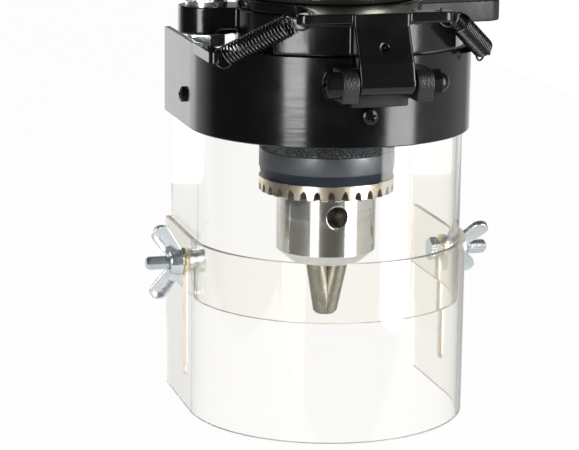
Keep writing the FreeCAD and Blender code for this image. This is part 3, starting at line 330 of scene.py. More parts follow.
# Paint over a sand-cast skin: small facets that sparkle grey.
sand_paint = grainy("paint_on_sand_casting", "#171716", "#2b2b29",
                    rough=0.34, grain=0.8, relief=1.0, depth=0.3)
# Moulded plastic: broad soft bands of light, lightly streaked along the ring.
ring_plastic = grainy("moulded_black_plastic", "#060607", "#0c0c0d",
                      rough=0.165, grain=2.2, relief=0.25, depth=0.12, stretch=(0.12, 0.12, 1))
# Screws blackened in hot salts: near black, with a dull metal glint.
black_steel = grainy("blackened_steel", "#2a2a2c", "#505052",
                     rough=0.22, grain=0.5, relief=0.15, depth=0.05, Metallic=0.85)
# Drawn spring wire, blackened: smooth, so each curl carries one bright line.
spring_steel = grainy("blackened_spring_wire", "#4a4b4d", "#6c6d70",
                      rough=0.17, grain=0.4, relief=0.1, depth=0.03, Metallic=1.0)
# Sleeve under black oxide, rubbed grey by hands.
sleeve_steel = grainy("black_oxide_sleeve", "#565a5f", "#66696e",
                      rough=0.38, grain=0.6, relief=0.12, depth=0.04, Metallic=0.95)
# The relief under the knurl faces down and lies in shade: its darker, bluer grey is painted shade.
painted_shade_relief = grainy("sleeve_relief_painted_shade", "#2a303b", "#3a404b",
                     rough=0.36, grain=0.6, relief=0.12, depth=0.04, Metallic=0.9)
print("black finishes ready")

# %% [markdown]
# ## Ground steel and bright zinc
# The chuck's jaws and gear ring are hardened and ground, so they are smoother than turned steel, and the heat
# leaves them a little tan. The wing nuts, bolts and rod are zinc plated: pale, a little blue, with a soft
# mottle. All of them are a metal with a grain and worn patches, so the function for the blacks serves again.

# %% Ground steel and zinc
# Jaws, hardened and ground: grey and smooth.
jaw_steel = grainy("ground_jaw_steel", "#98948c", "#87837b",
                   rough=0.27, grain=0.4, relief=0.1, depth=0.03, Metallic=1.0)
# Gear ring, hardened: lighter, with the tan that heat leaves.
gear_steel = grainy("hardened_gear_steel", "#cfc6b4", "#b9af9c",
                    rough=0.27, grain=0.5, relief=0.1, depth=0.03, Metallic=1.0)
# Bright zinc: pale and cool, with the ripple of a plated pressing.
zinc = grainy("bright_zinc_plate", "#d8dee1", "#b4bdc1",
              rough=0.22, grain=2.5, relief=0.35, depth=0.4, Metallic=0.93)
# Yellow passivated zinc on the washers: pale straw.
yellow_zinc = grainy("yellow_zinc_plate", "#e4dba6", "#bfb47c",
                     rough=0.26, grain=0.9, relief=0.2, depth=0.06, Metallic=1.0)
print("steel and zinc ready")

# %% [markdown]
# ## Clear polycarbonate
# The shields are polycarbonate sheet, clear with a faint warm cast that only shows along an edge, and a
# rolled sheet is never quite flat. Lamps have to reach the chuck inside, so the shields will throw no shadow.

# %% Clear plastic
SHEET_INDEX, WAVE_WIDTH, WAVE_STRENGTH, WAVE_DEPTH = 1.3, 22.2, 0.02, 1.0
# Clear polycarbonate: thin sheet that hardly bends light, so its index is set below the real 1.58.
clear_sheet, tree, shader = start("clear_polycarbonate", Base_Color=colour("#fffefa"), IOR=SHEET_INDEX,
                                  Transmission_Weight=1.0, Roughness=0.02)
coords = add(tree, "ShaderNodeTexCoord").outputs["Object"]
wave = add(tree, "ShaderNodeTexNoise", {"Vector": coords, "Scale": 1 / (WAVE_WIDTH * MM), "Detail": 1.0})
relief = add(tree, "ShaderNodeBump", {"Height": wave, "Strength": WAVE_STRENGTH, "Distance": WAVE_DEPTH * MM})
feed(tree, shader, {"Normal": relief})
# A sawn edge: frosted, and brown where light runs along the sheet.
sawn_edge = grainy("sawn_polycarbonate_edge", "#c3bab0", "#a59b91", rough=0.4, grain=0.6, relief=0.4,
                   depth=0.1, Transmission_Weight=0.6, IOR=SHEET_INDEX)
print("clear sheet ready")

# %% [markdown]
# ## Finishes on the solids
# A solid whose shape is right stays as it is and only takes its finish. The helper can also give a second
# finish to the faces of a piece that a test picks out by their middle and by the way they look.

# %% Assign
BEARINGS = ("lower_bearing_", "upper_bearing_")
BEARING_PARTS = [bearing + part for bearing in BEARINGS for part in ("outer", "inner", "balls")]
FINISHES = [
    (flange_steel, ["quill_sleeve"]),
    (bright_steel, ["spindle", "spindle_lock_nut", "chuck_body", "chuck_nut"]),
    (ground_steel, ["bearing_cover"] + BEARING_PARTS),
    (cage_brass, [bearing + "cage" for bearing in BEARINGS]),
    (jaw_steel, ["jaw_1", "jaw_2", "jaw_3"]),
    (sleeve_steel, ["chuck_sleeve"]),
    (gear_steel, ["chuck_gear_ring"]),
    (gloss_paint, ["quill_collar", "guard_bracket"]),
    (sand_paint, ["hinge_clevis"]),
    (ring_plastic, ["guard_ring"]),
    (clear_sheet, ["upper_shield", "lower_shield"]),
    (zinc, ["depth_rod", "depth_rod_nuts", "depth_rod_washer", "clamp_bolts", "wing_nut_left",
            "wing_nut_right", "ring_screw_nuts"]),
    (yellow_zinc, ["clamp_washers"]),
    (black_steel, ["pinch_screw", "bracket_screws", "clevis_screws", "hinge_screw", "hinge_bush",
                   "hinge_dome_nut", "ring_screws"]),
    (spring_steel, ["spring_left", "spring_right"]),
]


def paint(mesh, finish, other=None, picked=None):
    """Gives a mesh its finish, and another one to the faces picked by their middle (mm) and direction."""
    mesh.materials.clear()
    mesh.materials.append(finish)
    if other is not None:
        mesh.materials.append(other)
        for face in mesh.polygons:
            face.material_index = int(picked(face.center / MM, face.normal))


for finish, names in FINISHES:
    for name in names:
        paint(nodes[name].data, finish)
print("finished solids", sum(len(names) for finish, names in FINISHES))

# %% [markdown]
# ## Wire springs by a rule
# Each guard spring is one wire: a hook through the bracket's bar, nineteen curls, and a hook through the
# ring's tab. A curve object could be drawn by hand, but the wire follows a rule, so its middle line is
# worked out here from the same places as the solids and a small node tree sweeps a round section along it.
# The tree has the wire's radius as its input.

# %% Middle line of a spring
RING_R, TAB_R, TAB_T, RING_TOP = 55.0, 2.5, 3.8, -25.2
BAR_X, BAR_HOLE_HALF, BAR_Y, BAR_Z, BAR_T = 2.0, 24.2, -53.0, -11.0, 4.0
TAB_Y, AIR = -30.8, 0.4
WIRE_R, COIL_R, TURNS, COIL_SHIFT, COIL_START, HOOK_LEAD = 0.4, 3.7, 19, 2.2, 5.0, 1.0
BAR_HOOK_R, BAR_HOOK_START, TAB_HOOK_TURN = 3.9, 130, 210
CURL_POINTS, BAR_HOOK_POINTS, TAB_HOOK_POINTS, BEND_POINTS, BEND_REACH = 28, 24, 22, 14, 1.25
UP, RIGHT = Vector((0, 0, 1)), Vector((1, 0, 0))
SIDES = {-1: "left", 1: "right"}


def hook_shift(radius, thickness):
    """How far a hook's centre lies from the hole that it hangs in."""
    return (radius + sqrt(radius ** 2 - (thickness / 2) ** 2)) / 2


def arc(centre, first, second, radius, begin, end, count):
    """Points of an arc from one angle to another, in degrees from the first direction to the second."""
    turns = [radians(begin + (end - begin) * i / count) for i in range(count + 1)]
    return [centre + (first * cos(a) + second * sin(a)) * radius for a in turns]


def eased(a, leaving, b, arriving):
    """Points of a smooth bend between two points with given directions."""
    reach = (b - a).length * BEND_REACH
    points = []
    for i in range(1, BEND_POINTS):
        t = i / BEND_POINTS
        p = a * (2 * t ** 3 - 3 * t ** 2 + 1) + leaving * reach * (t ** 3 - 2 * t ** 2 + t)
        points.append(p + b * (3 * t ** 2 - 2 * t ** 3) + arriving * reach * (t ** 3 - t ** 2))
    return points


def spring_line(side):
    """Points along the wire in millimetres, from the bar's hook to the tab's hook."""
    bar = Vector((BAR_X + side * (BAR_HOLE_HALF + hook_shift(BAR_HOOK_R, BAR_T)), BAR_Y, BAR_Z))
    hole = Vector((side * (RING_R - TAB_R), TAB_Y, RING_TOP - TAB_T / 2))
    level = Vector((hole.x - bar.x, hole.y - bar.y, 0)).normalized()
    tab = hole - level * hook_shift(COIL_R, TAB_T)
    axis = (tab - bar).normalized()
    span = (tab - bar).length
    up = (UP - axis * axis.z).normalized()
    inward = axis.cross(up) * -side
    shift = max(COIL_SHIFT, RING_R + AIR + COIL_R + WIRE_R - abs(bar.x * level.y - bar.y * level.x))
    rise = (span - COIL_START - HOOK_LEAD - shift) / TURNS
    centre = bar - inward * shift + axis * COIL_START
    curl = (inward + axis * rise / (2 * pi * COIL_R)).normalized()
    points = arc(bar, RIGHT * side, UP, BAR_HOOK_R, BAR_HOOK_START, 360, BAR_HOOK_POINTS)
    points += eased(points[-1], UP, centre + up * COIL_R, curl)
    curls = arc(centre, up, inward, COIL_R, 0, 360 * TURNS, TURNS * CURL_POINTS)
    points += [p + axis * (rise * i / CURL_POINTS) for i, p in enumerate(curls)]
    lead = tab + up * COIL_R - axis * HOOK_LEAD
    points += eased(points[-1], curl, lead, axis) + [lead]
    return points + arc(tab, up, axis, COIL_R, 0, TAB_HOOK_TURN, TAB_HOOK_POINTS)


print("wire of the left spring:", len(spring_line(-1)), "points")

# %% [markdown]
# Node trees are built in the script. These helpers open a tree with named inputs, close it with real meshes
# in their finish, run it on an object with its inputs set by their identifiers, and turn the result into a
# plain mesh.


# %% Helpers for node trees
def open_tree(name, sizes):
    """A geometry tree with named sizes as its inputs, and the sockets of those inputs."""
    tree = bpy.data.node_groups.new(name, "GeometryNodeTree")
    tree.interface.new_socket("Geometry", in_out="INPUT", socket_type="NodeSocketGeometry")
    for key, value in sizes.items():
        kind = "NodeSocketInt" if isinstance(value, int) else "NodeSocketFloat"
        tree.interface.new_socket(key, in_out="INPUT", socket_type=kind).default_value = value
    tree.interface.new_socket("Geometry", in_out="OUTPUT", socket_type="NodeSocketGeometry")
    return tree, add(tree, "NodeGroupInput").outputs


def close_tree(tree, geometry, finish):
    real = add(tree, "GeometryNodeRealizeInstances", {"Geometry": geometry})
    painted = add(tree, "GeometryNodeSetMaterial", {"Geometry": real, "Material": finish})
    add(tree, "NodeGroupOutput", {"Geometry": painted})


def plain_mesh(obj):
    """The mesh of an object with its modifiers applied; the modifiers and the object itself go."""
    bpy.context.view_layer.update()
    ready = obj.evaluated_get(bpy.context.evaluated_depsgraph_get())
    mesh = bpy.data.meshes.new_from_object(ready)
    obj.modifiers.clear()
    bpy.data.objects.remove(obj)
    return mesh


def show(name, mesh, crease=40):
    """Puts a mesh in the scene at the origin, smooth but for edges sharper than an angle in degrees."""
    mesh.name = name
    for face in mesh.polygons:
        face.use_smooth = True
    mesh.set_sharp_from_angle(angle=radians(crease))
    return new_object(name, mesh)


def grow(obj, tree, name, **sizes):
    """Runs a tree on an object and gives back its result as a plain mesh object."""
    modifier = obj.modifiers.new("grow", "NODES")
    modifier.node_group = tree
    for item in tree.interface.items_tree:
        if item.in_out == "INPUT" and item.name in sizes:
            modifier[item.identifier] = sizes[item.name]
    mesh = plain_mesh(obj)
    paint(mesh, mesh.materials[-1])
    return show(name, mesh)


print("helpers for node trees ready")

# %% [markdown]
# The wire's tree takes a circle of the wire's radius along the middle line and closes both ends.

# %% Springs
WIRE_SIDES = 12


def poly_line(name, points):
    """A curve through points in millimetres, for a tree to sweep along."""
    data = bpy.data.curves.new(name, "CURVE")
    data.dimensions = "3D"
    line = data.splines.new("POLY")
    line.points.add(len(points) - 1)
    for knot, p in zip(line.points, points):
        knot.co = (*(p * MM), 1)
    return new_object(name, data)


wire_tree, size = open_tree("wire_along_a_line", {"Wire radius": WIRE_R * MM, "Sides": WIRE_SIDES})
section = add(wire_tree, "GeometryNodeCurvePrimitiveCircle", {
    "Resolution": size["Sides"], "Radius": size["Wire radius"]})
swept = add(wire_tree, "GeometryNodeCurveToMesh", {
    "Curve": size["Geometry"], "Profile Curve": section, "Fill Caps": True})
close_tree(wire_tree, swept, spring_steel)

for side, word in SIDES.items():
    name = "spring_" + word
    line = spring_line(side)
    wire = grow(poly_line(name + "_line", line), wire_tree, name + "_wire")
    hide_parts(name)
    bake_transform(wire)
    print(name, len(wire.data.polygons), "faces")

# %% [markdown]
# ## Helpers for pieces that stand in for solids
# A solid's mesh comes as loose triangles, so a copy of it is merged before anything is done to it. A piece
# that stands in for a solid moves with the same body and keeps the solid's place.

# %% Stand-ins
BODIES = frame["record"]["behaviour"]["bodies"]
BODY_OF = {node: body for body, members in BODIES.items() for node in members}
MERGE = 0.002


def merged_copy(node):
    """A copy of a solid's mesh with its triangles joined, ready to be changed."""
    shape = bmesh.new()
    shape.from_mesh(nodes[node].data)
    bmesh.ops.remove_doubles(shape, verts=shape.verts, dist=MERGE * MM)
    return shape


def put(shape, name):
    """Puts an edited shape in the scene as an object, for modifiers to work on."""
    mesh = bpy.data.meshes.new(name)
    shape.to_mesh(mesh)
    shape.free()
    return new_object(name, mesh)


def stand_in(piece, node):
    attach(piece, BODY_OF[node])
    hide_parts(node)


print("solids that move:", sum(1 for body in BODY_OF.values() if body != "quill"))

# %% [markdown]
# ## Shields with sawn edges
# Each shield is one sheet bent to a U. A solid's mesh is made of a few flat strips, which would break up what
# is seen through them, so the sheet is built again with many narrow strips around the bend, and the slots are
# cut by a boolean. A clear sheet is easy to see only along its edges, where the saw left it frosted: the long
# curved rims, the upright ends at the back and the walls of the slots. Those faces are picked out by the way
# they look and by their place, and take a milky finish of their own.

# %% Sheets and cutters
GUARD_BACK, SHEET_WALL, BEND_STRIPS, SLOT_SIDES = 44.0, 2.0, 220, 20
BOLT_Y, BOLT_Z, SLOT_R, SLOT_RUN, HOLE_R = 9.5, -113.2, 2.75, 43.4, 2.52


def u_path(radius):
    """Points around the sheet, from the left end at the back, round the front, to the right end."""
    turns = [pi * i / BEND_STRIPS for i in range(BEND_STRIPS + 1)]
    bend = [(-radius * cos(a), -radius * sin(a)) for a in turns]
    return [(-radius, GUARD_BACK)] + bend + [(radius, GUARD_BACK)]


def u_sheet(outer, low, high):
    """A sheet bent to a U, from its outer radius and its lower and upper edge in millimetres."""
    shape = bmesh.new()
    posts = []
    for (xo, yo), (xi, yi) in zip(u_path(outer), u_path(outer - SHEET_WALL)):
        corners = ((xo, yo, low), (xi, yi, low), (xi, yi, high), (xo, yo, high))
        posts.append([shape.verts.new(Vector(c) * MM) for c in corners])
    for a, b in zip(posts, posts[1:]):
        for k in range(4):
            shape.faces.new((a[k], a[(k + 1) % 4], b[(k + 1) % 4], b[k]))
    shape.faces.new(posts[0])
    shape.faces.new(posts[-1])
    bmesh.ops.recalc_face_normals(shape, faces=shape.faces)
    return shape


def slot_bar(radius, run, reach):
    """A bar along X with round ends, as wide as a slot, that reaches through both sides of a shield."""
    turns = [pi * i / SLOT_SIDES for i in range(SLOT_SIDES + 1)]
    outline = [(radius * cos(a), radius * sin(a)) for a in turns]
    outline += [(-y, -z - run) for y, z in outline]
    shape = bmesh.new()
    near = [shape.verts.new(Vector((-reach, BOLT_Y + y, BOLT_Z + z)) * MM) for y, z in outline]
    far = [shape.verts.new(Vector((reach, BOLT_Y + y, BOLT_Z + z)) * MM) for y, z in outline]
    for i in range(len(outline)):
        n = (i + 1) % len(outline)
        shape.faces.new((near[i], near[n], far[n], far[i]))
    shape.faces.new(near)
    shape.faces.new(far)
    bmesh.ops.recalc_face_normals(shape, faces=shape.faces)
    return shape


print("strips around a shield:", len(u_path(RING_R)) - 1)

# %% Clear shields
STRAIGHT, ASIDE, END_DEPTH, SHEET_CREASE = 0.9, 0.5, 0.1, 30
# The upper shield has round holes: slots with hardly any run.
HOLE_RUN = 0.001
CUTS = {"upper_shield": (HOLE_R, HOLE_RUN), "lower_shield": (SLOT_R, SLOT_RUN)}


def is_sawn(centre, way):
    rim = abs(way.z) > STRAIGHT
    upright_end = way.y > STRAIGHT and centre.y > GUARD_BACK - END_DEPTH
    slot_wall = centre.y > 0 and abs(way.x) < ASIDE
    return rim or upright_end or slot_wall


for name, (radius, run) in CUTS.items():
    low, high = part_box(name)
    sheet = put(u_sheet(high.x / MM, low.z / MM, high.z / MM), name + "_raw")
    cutter = put(slot_bar(radius, run, 2 * high.x / MM), name + "_slots")
    cut = sheet.modifiers.new("slots", "BOOLEAN")
    cut.object, cut.operation, cut.solver = cutter, "DIFFERENCE", "EXACT"
    mesh = plain_mesh(sheet)
    bpy.data.objects.remove(cutter)
    paint(mesh, clear_sheet, sawn_edge, is_sawn)
    clear = show(name + "_sheet", mesh, SHEET_CREASE)
    clear.visible_shadow = False
    stand_in(clear, name)
    print(name, len(mesh.polygons), "faces, sawn", sum(face.material_index for face in mesh.polygons))

# %% [markdown]
# ## Chuck body, with painted shade in its key holes
# The chuck's body is turned bright, and the holes for the key are painted dark brown inside: painted
# shade. Their faces are picked by their distance from each hole's axis. A turned face is also given the
# exact direction of a turned surface at its corners, because flat triangles of uneven width would break
# up its highlights.

# %% Chuck body
KEY_Z, KEY_R, KEY_ANGLE, KEYS, NOSE_R = -92.4, 4.0, -3.0, 3, 19.4
WALL_MARGIN, SKIN_MARGIN, TURNED_LIMIT, BODY_CREASE = 0.03, 0.05, 0.05, 30
# Dark brown steel for the key holes and the gear's gaps: painted shade inside them, with no shine.
painted_shade_in_holes = grainy("milled_steel_painted_shade", "#55514a", "#37342f",
                    rough=0.4, grain=0.8, relief=0.2, depth=0.05, Metallic=0.9)


def along_turn(centre, way):
    """How far a direction looks around the axis at a place: 0 on a turned face."""
    return abs(way.dot(Vector((centre.x, centre.y, 0)).normalized().cross(UP)))


def in_key_hole(centre, way):
    turns = [radians(KEY_ANGLE + 360 * i / KEYS) for i in range(KEYS)]
    axes = [Vector((sin(a), -cos(a), 0)) for a in turns]
    spot = centre - UP * KEY_Z
    near = min((spot - axis * max(0, spot.dot(axis))).length for axis in axes)
    return near < KEY_R + WALL_MARGIN and spot.xy.length < NOSE_R - SKIN_MARGIN


def true_turn(piece):
    """Gives the turned faces of a piece the exact directions of a turned surface at their corners."""
    mesh = piece.data
    corners = [corner.vector.copy() for corner in mesh.corner_normals]
    for face in mesh.polygons:
        if along_turn(face.center, face.normal) < TURNED_LIMIT:
            tilt = face.normal.xy.length
            if face.normal.xy.dot(face.center.xy) < 0:
                tilt = -tilt
            for k in face.loop_indices:
                spot = mesh.vertices[mesh.loops[k].vertex_index].co
                corners[k] = Vector((spot.x, spot.y, 0)).normalized() * tilt + UP * face.normal.z
    mesh.normals_split_custom_set(corners)
    print(piece.name, len(mesh.polygons), "faces, dark", sum(face.material_index for face in mesh.polygons))


body = show("chuck_body_turned", plain_mesh(put(merged_copy("chuck_body"), "chuck_body_raw")), BODY_CREASE)
# The key holes take the dark finish: painted shade inside them.
paint(body.data, bright_steel, painted_shade_in_holes, in_key_hole)
true_turn(body)
stand_in(body, "chuck_body")

# %% [markdown]
# ## Castings and wing nuts with soft edges
# Sand castings, painted parts and pressed wing nuts have no knife edges: the mould and the paint round them,
# and a round edge is what catches a thin line of light. Bevelling each edge by hand would be slow. A voxel
# remesh rebuilds the skin from small cells, which trims every sharp edge by about one cell, and a few
# smoothing passes make it round. The cell is chosen for each piece: finer on small parts.

# %% Rounded pieces
SMOOTHING, ROUND_CREASE = 0.5, 60
ARM_X, EAR_T = 36.0, 6.1
clevis_left, clevis_right = (corner.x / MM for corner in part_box("hinge_clevis"))


def soften(node, finish, other=None, picked=None, *, cell, passes):
    """Stands in for a solid with a copy whose edges are rounded by about one cell, in millimetres."""
    raw = put(merged_copy(node), node + "_raw")
    cells = raw.modifiers.new("cells", "REMESH")
    cells.mode = "VOXEL"
    cells.voxel_size = cell * MM
    smooth = raw.modifiers.new("smooth", "SMOOTH")
    smooth.factor, smooth.iterations = SMOOTHING, passes
    soft = plain_mesh(raw)
    paint(soft, finish, other, picked)
    piece = show(node + "_round", soft, ROUND_CREASE)
    stand_in(piece, node)
    print(node, len(soft.polygons), "faces")
    return piece


def on_right_arm(centre, way):
    """The collar's right arm is what hands hold, and its paint is rubbed."""
    return centre.x > ARM_X


def between_ears(centre, way):
    """The clevis plate between its ears lies in shade, and its darker, duller finish is painted shade."""
    return clevis_left + EAR_T < centre.x < clevis_right - EAR_T


soften("guard_bracket", gloss_paint, cell=0.42, passes=9)
soften("quill_collar", gloss_paint, rubbed_paint, on_right_arm, cell=0.52, passes=9)
soften("hinge_clevis", sand_paint, shade_painted_matte, between_ears, cell=0.35, passes=3)
wing_nuts = {}
for side, word in SIDES.items():
    wing_nuts[side] = soften("wing_nut_" + word, zinc, cell=0.25, passes=6)
soften("hinge_dome_nut", black_steel, cell=0.16, passes=3)

# %% [markdown]
# The wings of a pressed nut are dished: each face is hollow, inside a full rim. The rounded copies have
# enough points to be pressed in by code: a point moves towards the wing's middle plane, most of all on the
# line from the wing's root to its tip, and not at all at the rim. The dish deepens over the first part of
# that line.

# %% Dished wings
WING_SEAT_X, WING_RIM, WING_DISH, DISH_START = 56.0, 2.9, 0.62, 1 / 3
WING_ROOT, WING_TIP = Vector((4.5, 3.6)), Vector((11.7, 8.6))
WING_LEAN = {-1: 10.0, 1: 40.0}
reach = WING_TIP - WING_ROOT
for side, nut in wing_nuts.items():
    lean = radians(WING_LEAN[side])
    upward, thin = Vector((0, -sin(lean), cos(lean))), Vector((0, cos(lean), sin(lean)))
    for point in nut.data.vertices:
        spot = point.co / MM - Vector((side * WING_SEAT_X, BOLT_Y, BOLT_Z))
        place = Vector((abs(spot.dot(upward)), spot.x * side))
        along = (place - WING_ROOT).dot(reach) / reach.length_squared
        off = (place - WING_ROOT - reach * min(max(along, 0), 1)).length
        press = WING_DISH * max(0, 1 - (off / WING_RIM) ** 2) * min(max(along / DISH_START, 0), 1)
        point.co -= thin * (spot.dot(thin) * press * MM)
    nut.data.update()
    print(nut.name, "wings dished by", WING_DISH)

# %% [markdown]
# ## Cross-recess screws
# The ring is held by three pan head screws and the hinge turns on a larger one. They are all one shape in
# two sizes, so a node tree builds the shape once: a short cylinder cut by a large ball gives the dome, two
# crossed bars are cut out for the driver, and the finished screw is put on each given point and turned to
# look along that point's direction.

# %% Screw sizes and places
# The recess is given in shares of the head's radius. The shank's middle lies down by a hair less than half
# its length, so that its end stays inside the head.
RECESS_LENGTH, RECESS_WIDTH, SHANK_SHARE = 1.15, 0.3, 0.499


def pan_head(radius, height, dome, shank_r, length):
    """The tree's inputs for one size of screw, from its plain sizes in millimetres."""
    ball = (radius ** 2 + dome ** 2) / (2 * dome)
    sizes = {
        "Head radius": radius, "Head height": height, "Head middle": height / 2,
        "Ball radius": ball, "Ball middle": height - ball,
        "Slot length": radius * RECESS_LENGTH, "Slot width": radius * RECESS_WIDTH,
        "Shank radius": shank_r, "Shank length": length, "Shank middle": -length * SHANK_SHARE,
    }
    return {key: value * MM for key, value in sizes.items()}


def raised(tree, piece, height):
    """A piece of a tree, moved up its own axis by one of the tree's sizes."""
    lift = add(tree, "ShaderNodeCombineXYZ", {"Z": height})
    return add(tree, "GeometryNodeTransform", {"Geometry": piece, "Translation": lift})


def on_spots(tree, spots, piece):
    """Puts a piece on each of a tree's points, turned to look along the point's direction."""
    outward = add(tree, "GeometryNodeInputNamedAttribute", {"Name": "outward"}, data_type="FLOAT_VECTOR")
    facing = add(tree, "FunctionNodeAlignRotationToVector", {"Vector": outward}, axis="Z")
    return add(tree, "GeometryNodeInstanceOnPoints", {
        "Points": spots, "Instance": piece, "Rotation": facing})


def points_with_ways(name, spots):
    """An object of single points, in millimetres, each with the direction that it looks."""
    data = bpy.data.meshes.new(name)
    data.from_pydata([Vector(p) * MM for p, way in spots], [], [])
    ways = data.attributes.new("outward", "FLOAT_VECTOR", "POINT")
    for i, (p, way) in enumerate(spots):
        ways.data[i].vector = way
    return new_object(name, data)


ring_screw_sizes = pan_head(radius=3.0, height=2.2, dome=0.9, shank_r=1.75, length=7.5)
print("sizes of a screw:", ", ".join(ring_screw_sizes))

# %% Screw tree
HEAD_SIDES, BALL_SEGMENTS, BALL_RINGS, SHANK_SIDES, SCREW_SPIN = 48, 96, 64, 32, 0.35
screw_tree, size = open_tree("pan_head_screw", ring_screw_sizes)
disc = add(screw_tree, "GeometryNodeMeshCylinder", {
    "Vertices": HEAD_SIDES, "Radius": size["Head radius"], "Depth": size["Head height"]})
ball = add(screw_tree, "GeometryNodeMeshUVSphere", {
    "Segments": BALL_SEGMENTS, "Rings": BALL_RINGS, "Radius": size["Ball radius"]})
rounds = [raised(screw_tree, disc, size["Head middle"]), raised(screw_tree, ball, size["Ball middle"])]
dome = add(screw_tree, "GeometryNodeMeshBoolean", {"Mesh 2": rounds}, operation="INTERSECT", solver="EXACT")
bars = []
for long_way, across in (("X", "Y"), ("Y", "X")):
    bar_size = add(screw_tree, "ShaderNodeCombineXYZ", {
        long_way: size["Slot length"], across: size["Slot width"], "Z": size["Head height"]})
    bar = add(screw_tree, "GeometryNodeMeshCube", {"Size": bar_size})
    bars.append(raised(screw_tree, bar, size["Head height"]))
head = add(screw_tree, "GeometryNodeMeshBoolean", {"Mesh 1": dome, "Mesh 2": bars},
           operation="DIFFERENCE", solver="EXACT")
shank = add(screw_tree, "GeometryNodeMeshCylinder", {
    "Vertices": SHANK_SIDES, "Radius": size["Shank radius"], "Depth": size["Shank length"]})
shank = raised(screw_tree, shank, size["Shank middle"])
whole = add(screw_tree, "GeometryNodeJoinGeometry", {"Geometry": [head, shank]})
spun = add(screw_tree, "GeometryNodeTransform", {"Geometry": whole, "Rotation": (0, 0, SCREW_SPIN)})
close_tree(screw_tree, on_spots(screw_tree, size["Geometry"], spun), black_steel)
print("screw tree:", len(screw_tree.nodes), "nodes")

# %% Screws in place
RING_SCREW_Z, RING_SCREW_SIDE_Y = -46.9, 8.6
HINGE_HEAD_H, HINGE_DOME, HINGE_PIN_R = 2.8, 1.3, 2.5
ring_spots = [((0, -RING_R, RING_SCREW_Z), (0, -1, 0))]
ring_spots += [((side * RING_R, RING_SCREW_SIDE_Y, RING_SCREW_Z), (side, 0, 0)) for side in SIDES]
ring_screws = grow(points_with_ways("ring_spots", ring_spots), screw_tree, "ring_screws_pan")
stand_in(ring_screws, "ring_screws")

low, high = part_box("hinge_screw")
hinge_y, hinge_z = (low.y + high.y) / 2 / MM, (low.z + high.z) / 2 / MM
hinge_spot = [((low.x / MM + HINGE_HEAD_H, hinge_y, hinge_z), (-1, 0, 0))]
hinge_sizes = pan_head(radius=(high.z - low.z) / 2 / MM, height=HINGE_HEAD_H, dome=HINGE_DOME,
                       shank_r=HINGE_PIN_R, length=(high.x - low.x) / MM - HINGE_HEAD_H)
hinge_screw = grow(points_with_ways("hinge_spot", hinge_spot), screw_tree, "hinge_screw_pan", **hinge_sizes)
stand_in(hinge_screw, "hinge_screw")
print("ring screws", len(ring_screws.data.polygons), "faces; hinge screw", len(hinge_screw.data.polygons))

# %% [markdown]
# ## Threads
# A thread is a ridge wound around a rod. The tree winds a spiral of the thread's pitch and sweeps a diamond
# along it, half sunk in the rod, so that the ridge stands proud by a small part of a millimetre. Winding it
# only where the rod is bare keeps the ridge out of the nuts.

# %% Thread tree
RIDGE_SHARE, SPIRAL_POINTS, DIAMOND_SIDES = 0.46, 20, 4
# A bolt of this size has a pitch of 0.8 to 1 mm; it is drawn coarser, so that its ridges show.
NUT_TOP_X, BOLT_TIP_X, BOLT_R, BOLT_PITCH, BOLT_PROUD = 61.2, 69.2, 2.5, 1.25, 0.5


def thread(length, rod_r, pitch, proud):
    """The tree's inputs for one thread, from its plain sizes in millimetres."""
    ridge = pitch * RIDGE_SHARE
    return {"Length": length * MM, "Turns": length / pitch, "Ridge radius": ridge * MM,
            "Middle radius": (rod_r - ridge + proud) * MM}


bolt_run = thread(BOLT_TIP_X - NUT_TOP_X, BOLT_R, BOLT_PITCH, BOLT_PROUD)
thread_tree, size = open_tree("thread_ridge", bolt_run)
spiral = add(thread_tree, "GeometryNodeCurveSpiral", {
    "Resolution": SPIRAL_POINTS, "Rotations": size["Turns"], "Start Radius": size["Middle radius"],
    "End Radius": size["Middle radius"], "Height": size["Length"]})
level = add(thread_tree, "GeometryNodeSetCurveNormal", {"Curve": spiral}, mode="Z_UP")
diamond = add(thread_tree, "GeometryNodeCurvePrimitiveCircle", {
    "Resolution": DIAMOND_SIDES, "Radius": size["Ridge radius"]})
ridge = add(thread_tree, "GeometryNodeCurveToMesh", {
    "Curve": level, "Profile Curve": diamond, "Fill Caps": True})
close_tree(thread_tree, on_spots(thread_tree, size["Geometry"], ridge), zinc)
print("thread tree:", len(thread_tree.nodes), "nodes")

# %% Threads in place
ROD_R, ROD_PITCH, ROD_PROUD, ROD_CLEAR, ROD_MARGIN = 4.0, 1.25, 0.3, 0.4, 1.5
bolt_spots = [((side * NUT_TOP_X, BOLT_Y, BOLT_Z), (side, 0, 0)) for side in SIDES]
bolt_threads = grow(points_with_ways("bolt_spots", bolt_spots), thread_tree, "clamp_bolt_threads", **bolt_run)
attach(bolt_threads, BODY_OF["clamp_bolts"])

low, high = (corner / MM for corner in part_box("depth_rod"))
nuts_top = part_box("depth_rod_nuts")[1].z / MM
rod_spot = [(((low.x + high.x) / 2, (low.y + high.y) / 2, nuts_top + ROD_CLEAR), (0, 0, 1))]
rod_run = thread(high.z - nuts_top - ROD_MARGIN, ROD_R, ROD_PITCH, ROD_PROUD)
rod_thread = grow(points_with_ways("rod_spot", rod_spot), thread_tree, "depth_rod_thread", **rod_run)
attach(rod_thread, BODY_OF["depth_rod"])
print("threads", len(bolt_threads.data.polygons), "and", len(rod_thread.data.polygons), "faces")

# %% [markdown]
# ## Knurled chuck sleeve
# The sleeve is gripped by hand, so its upper part is knurled: a wheel pressed rows of small pyramids into it.
# Below the knurl it is smooth, and it draws in a little above the gear ring. The plain body is turned from a
# profile, as on a lathe. Drawing pyramids in a bump map would leave the outline smooth, so a tree sets real
# ones in staggered rows around the body.

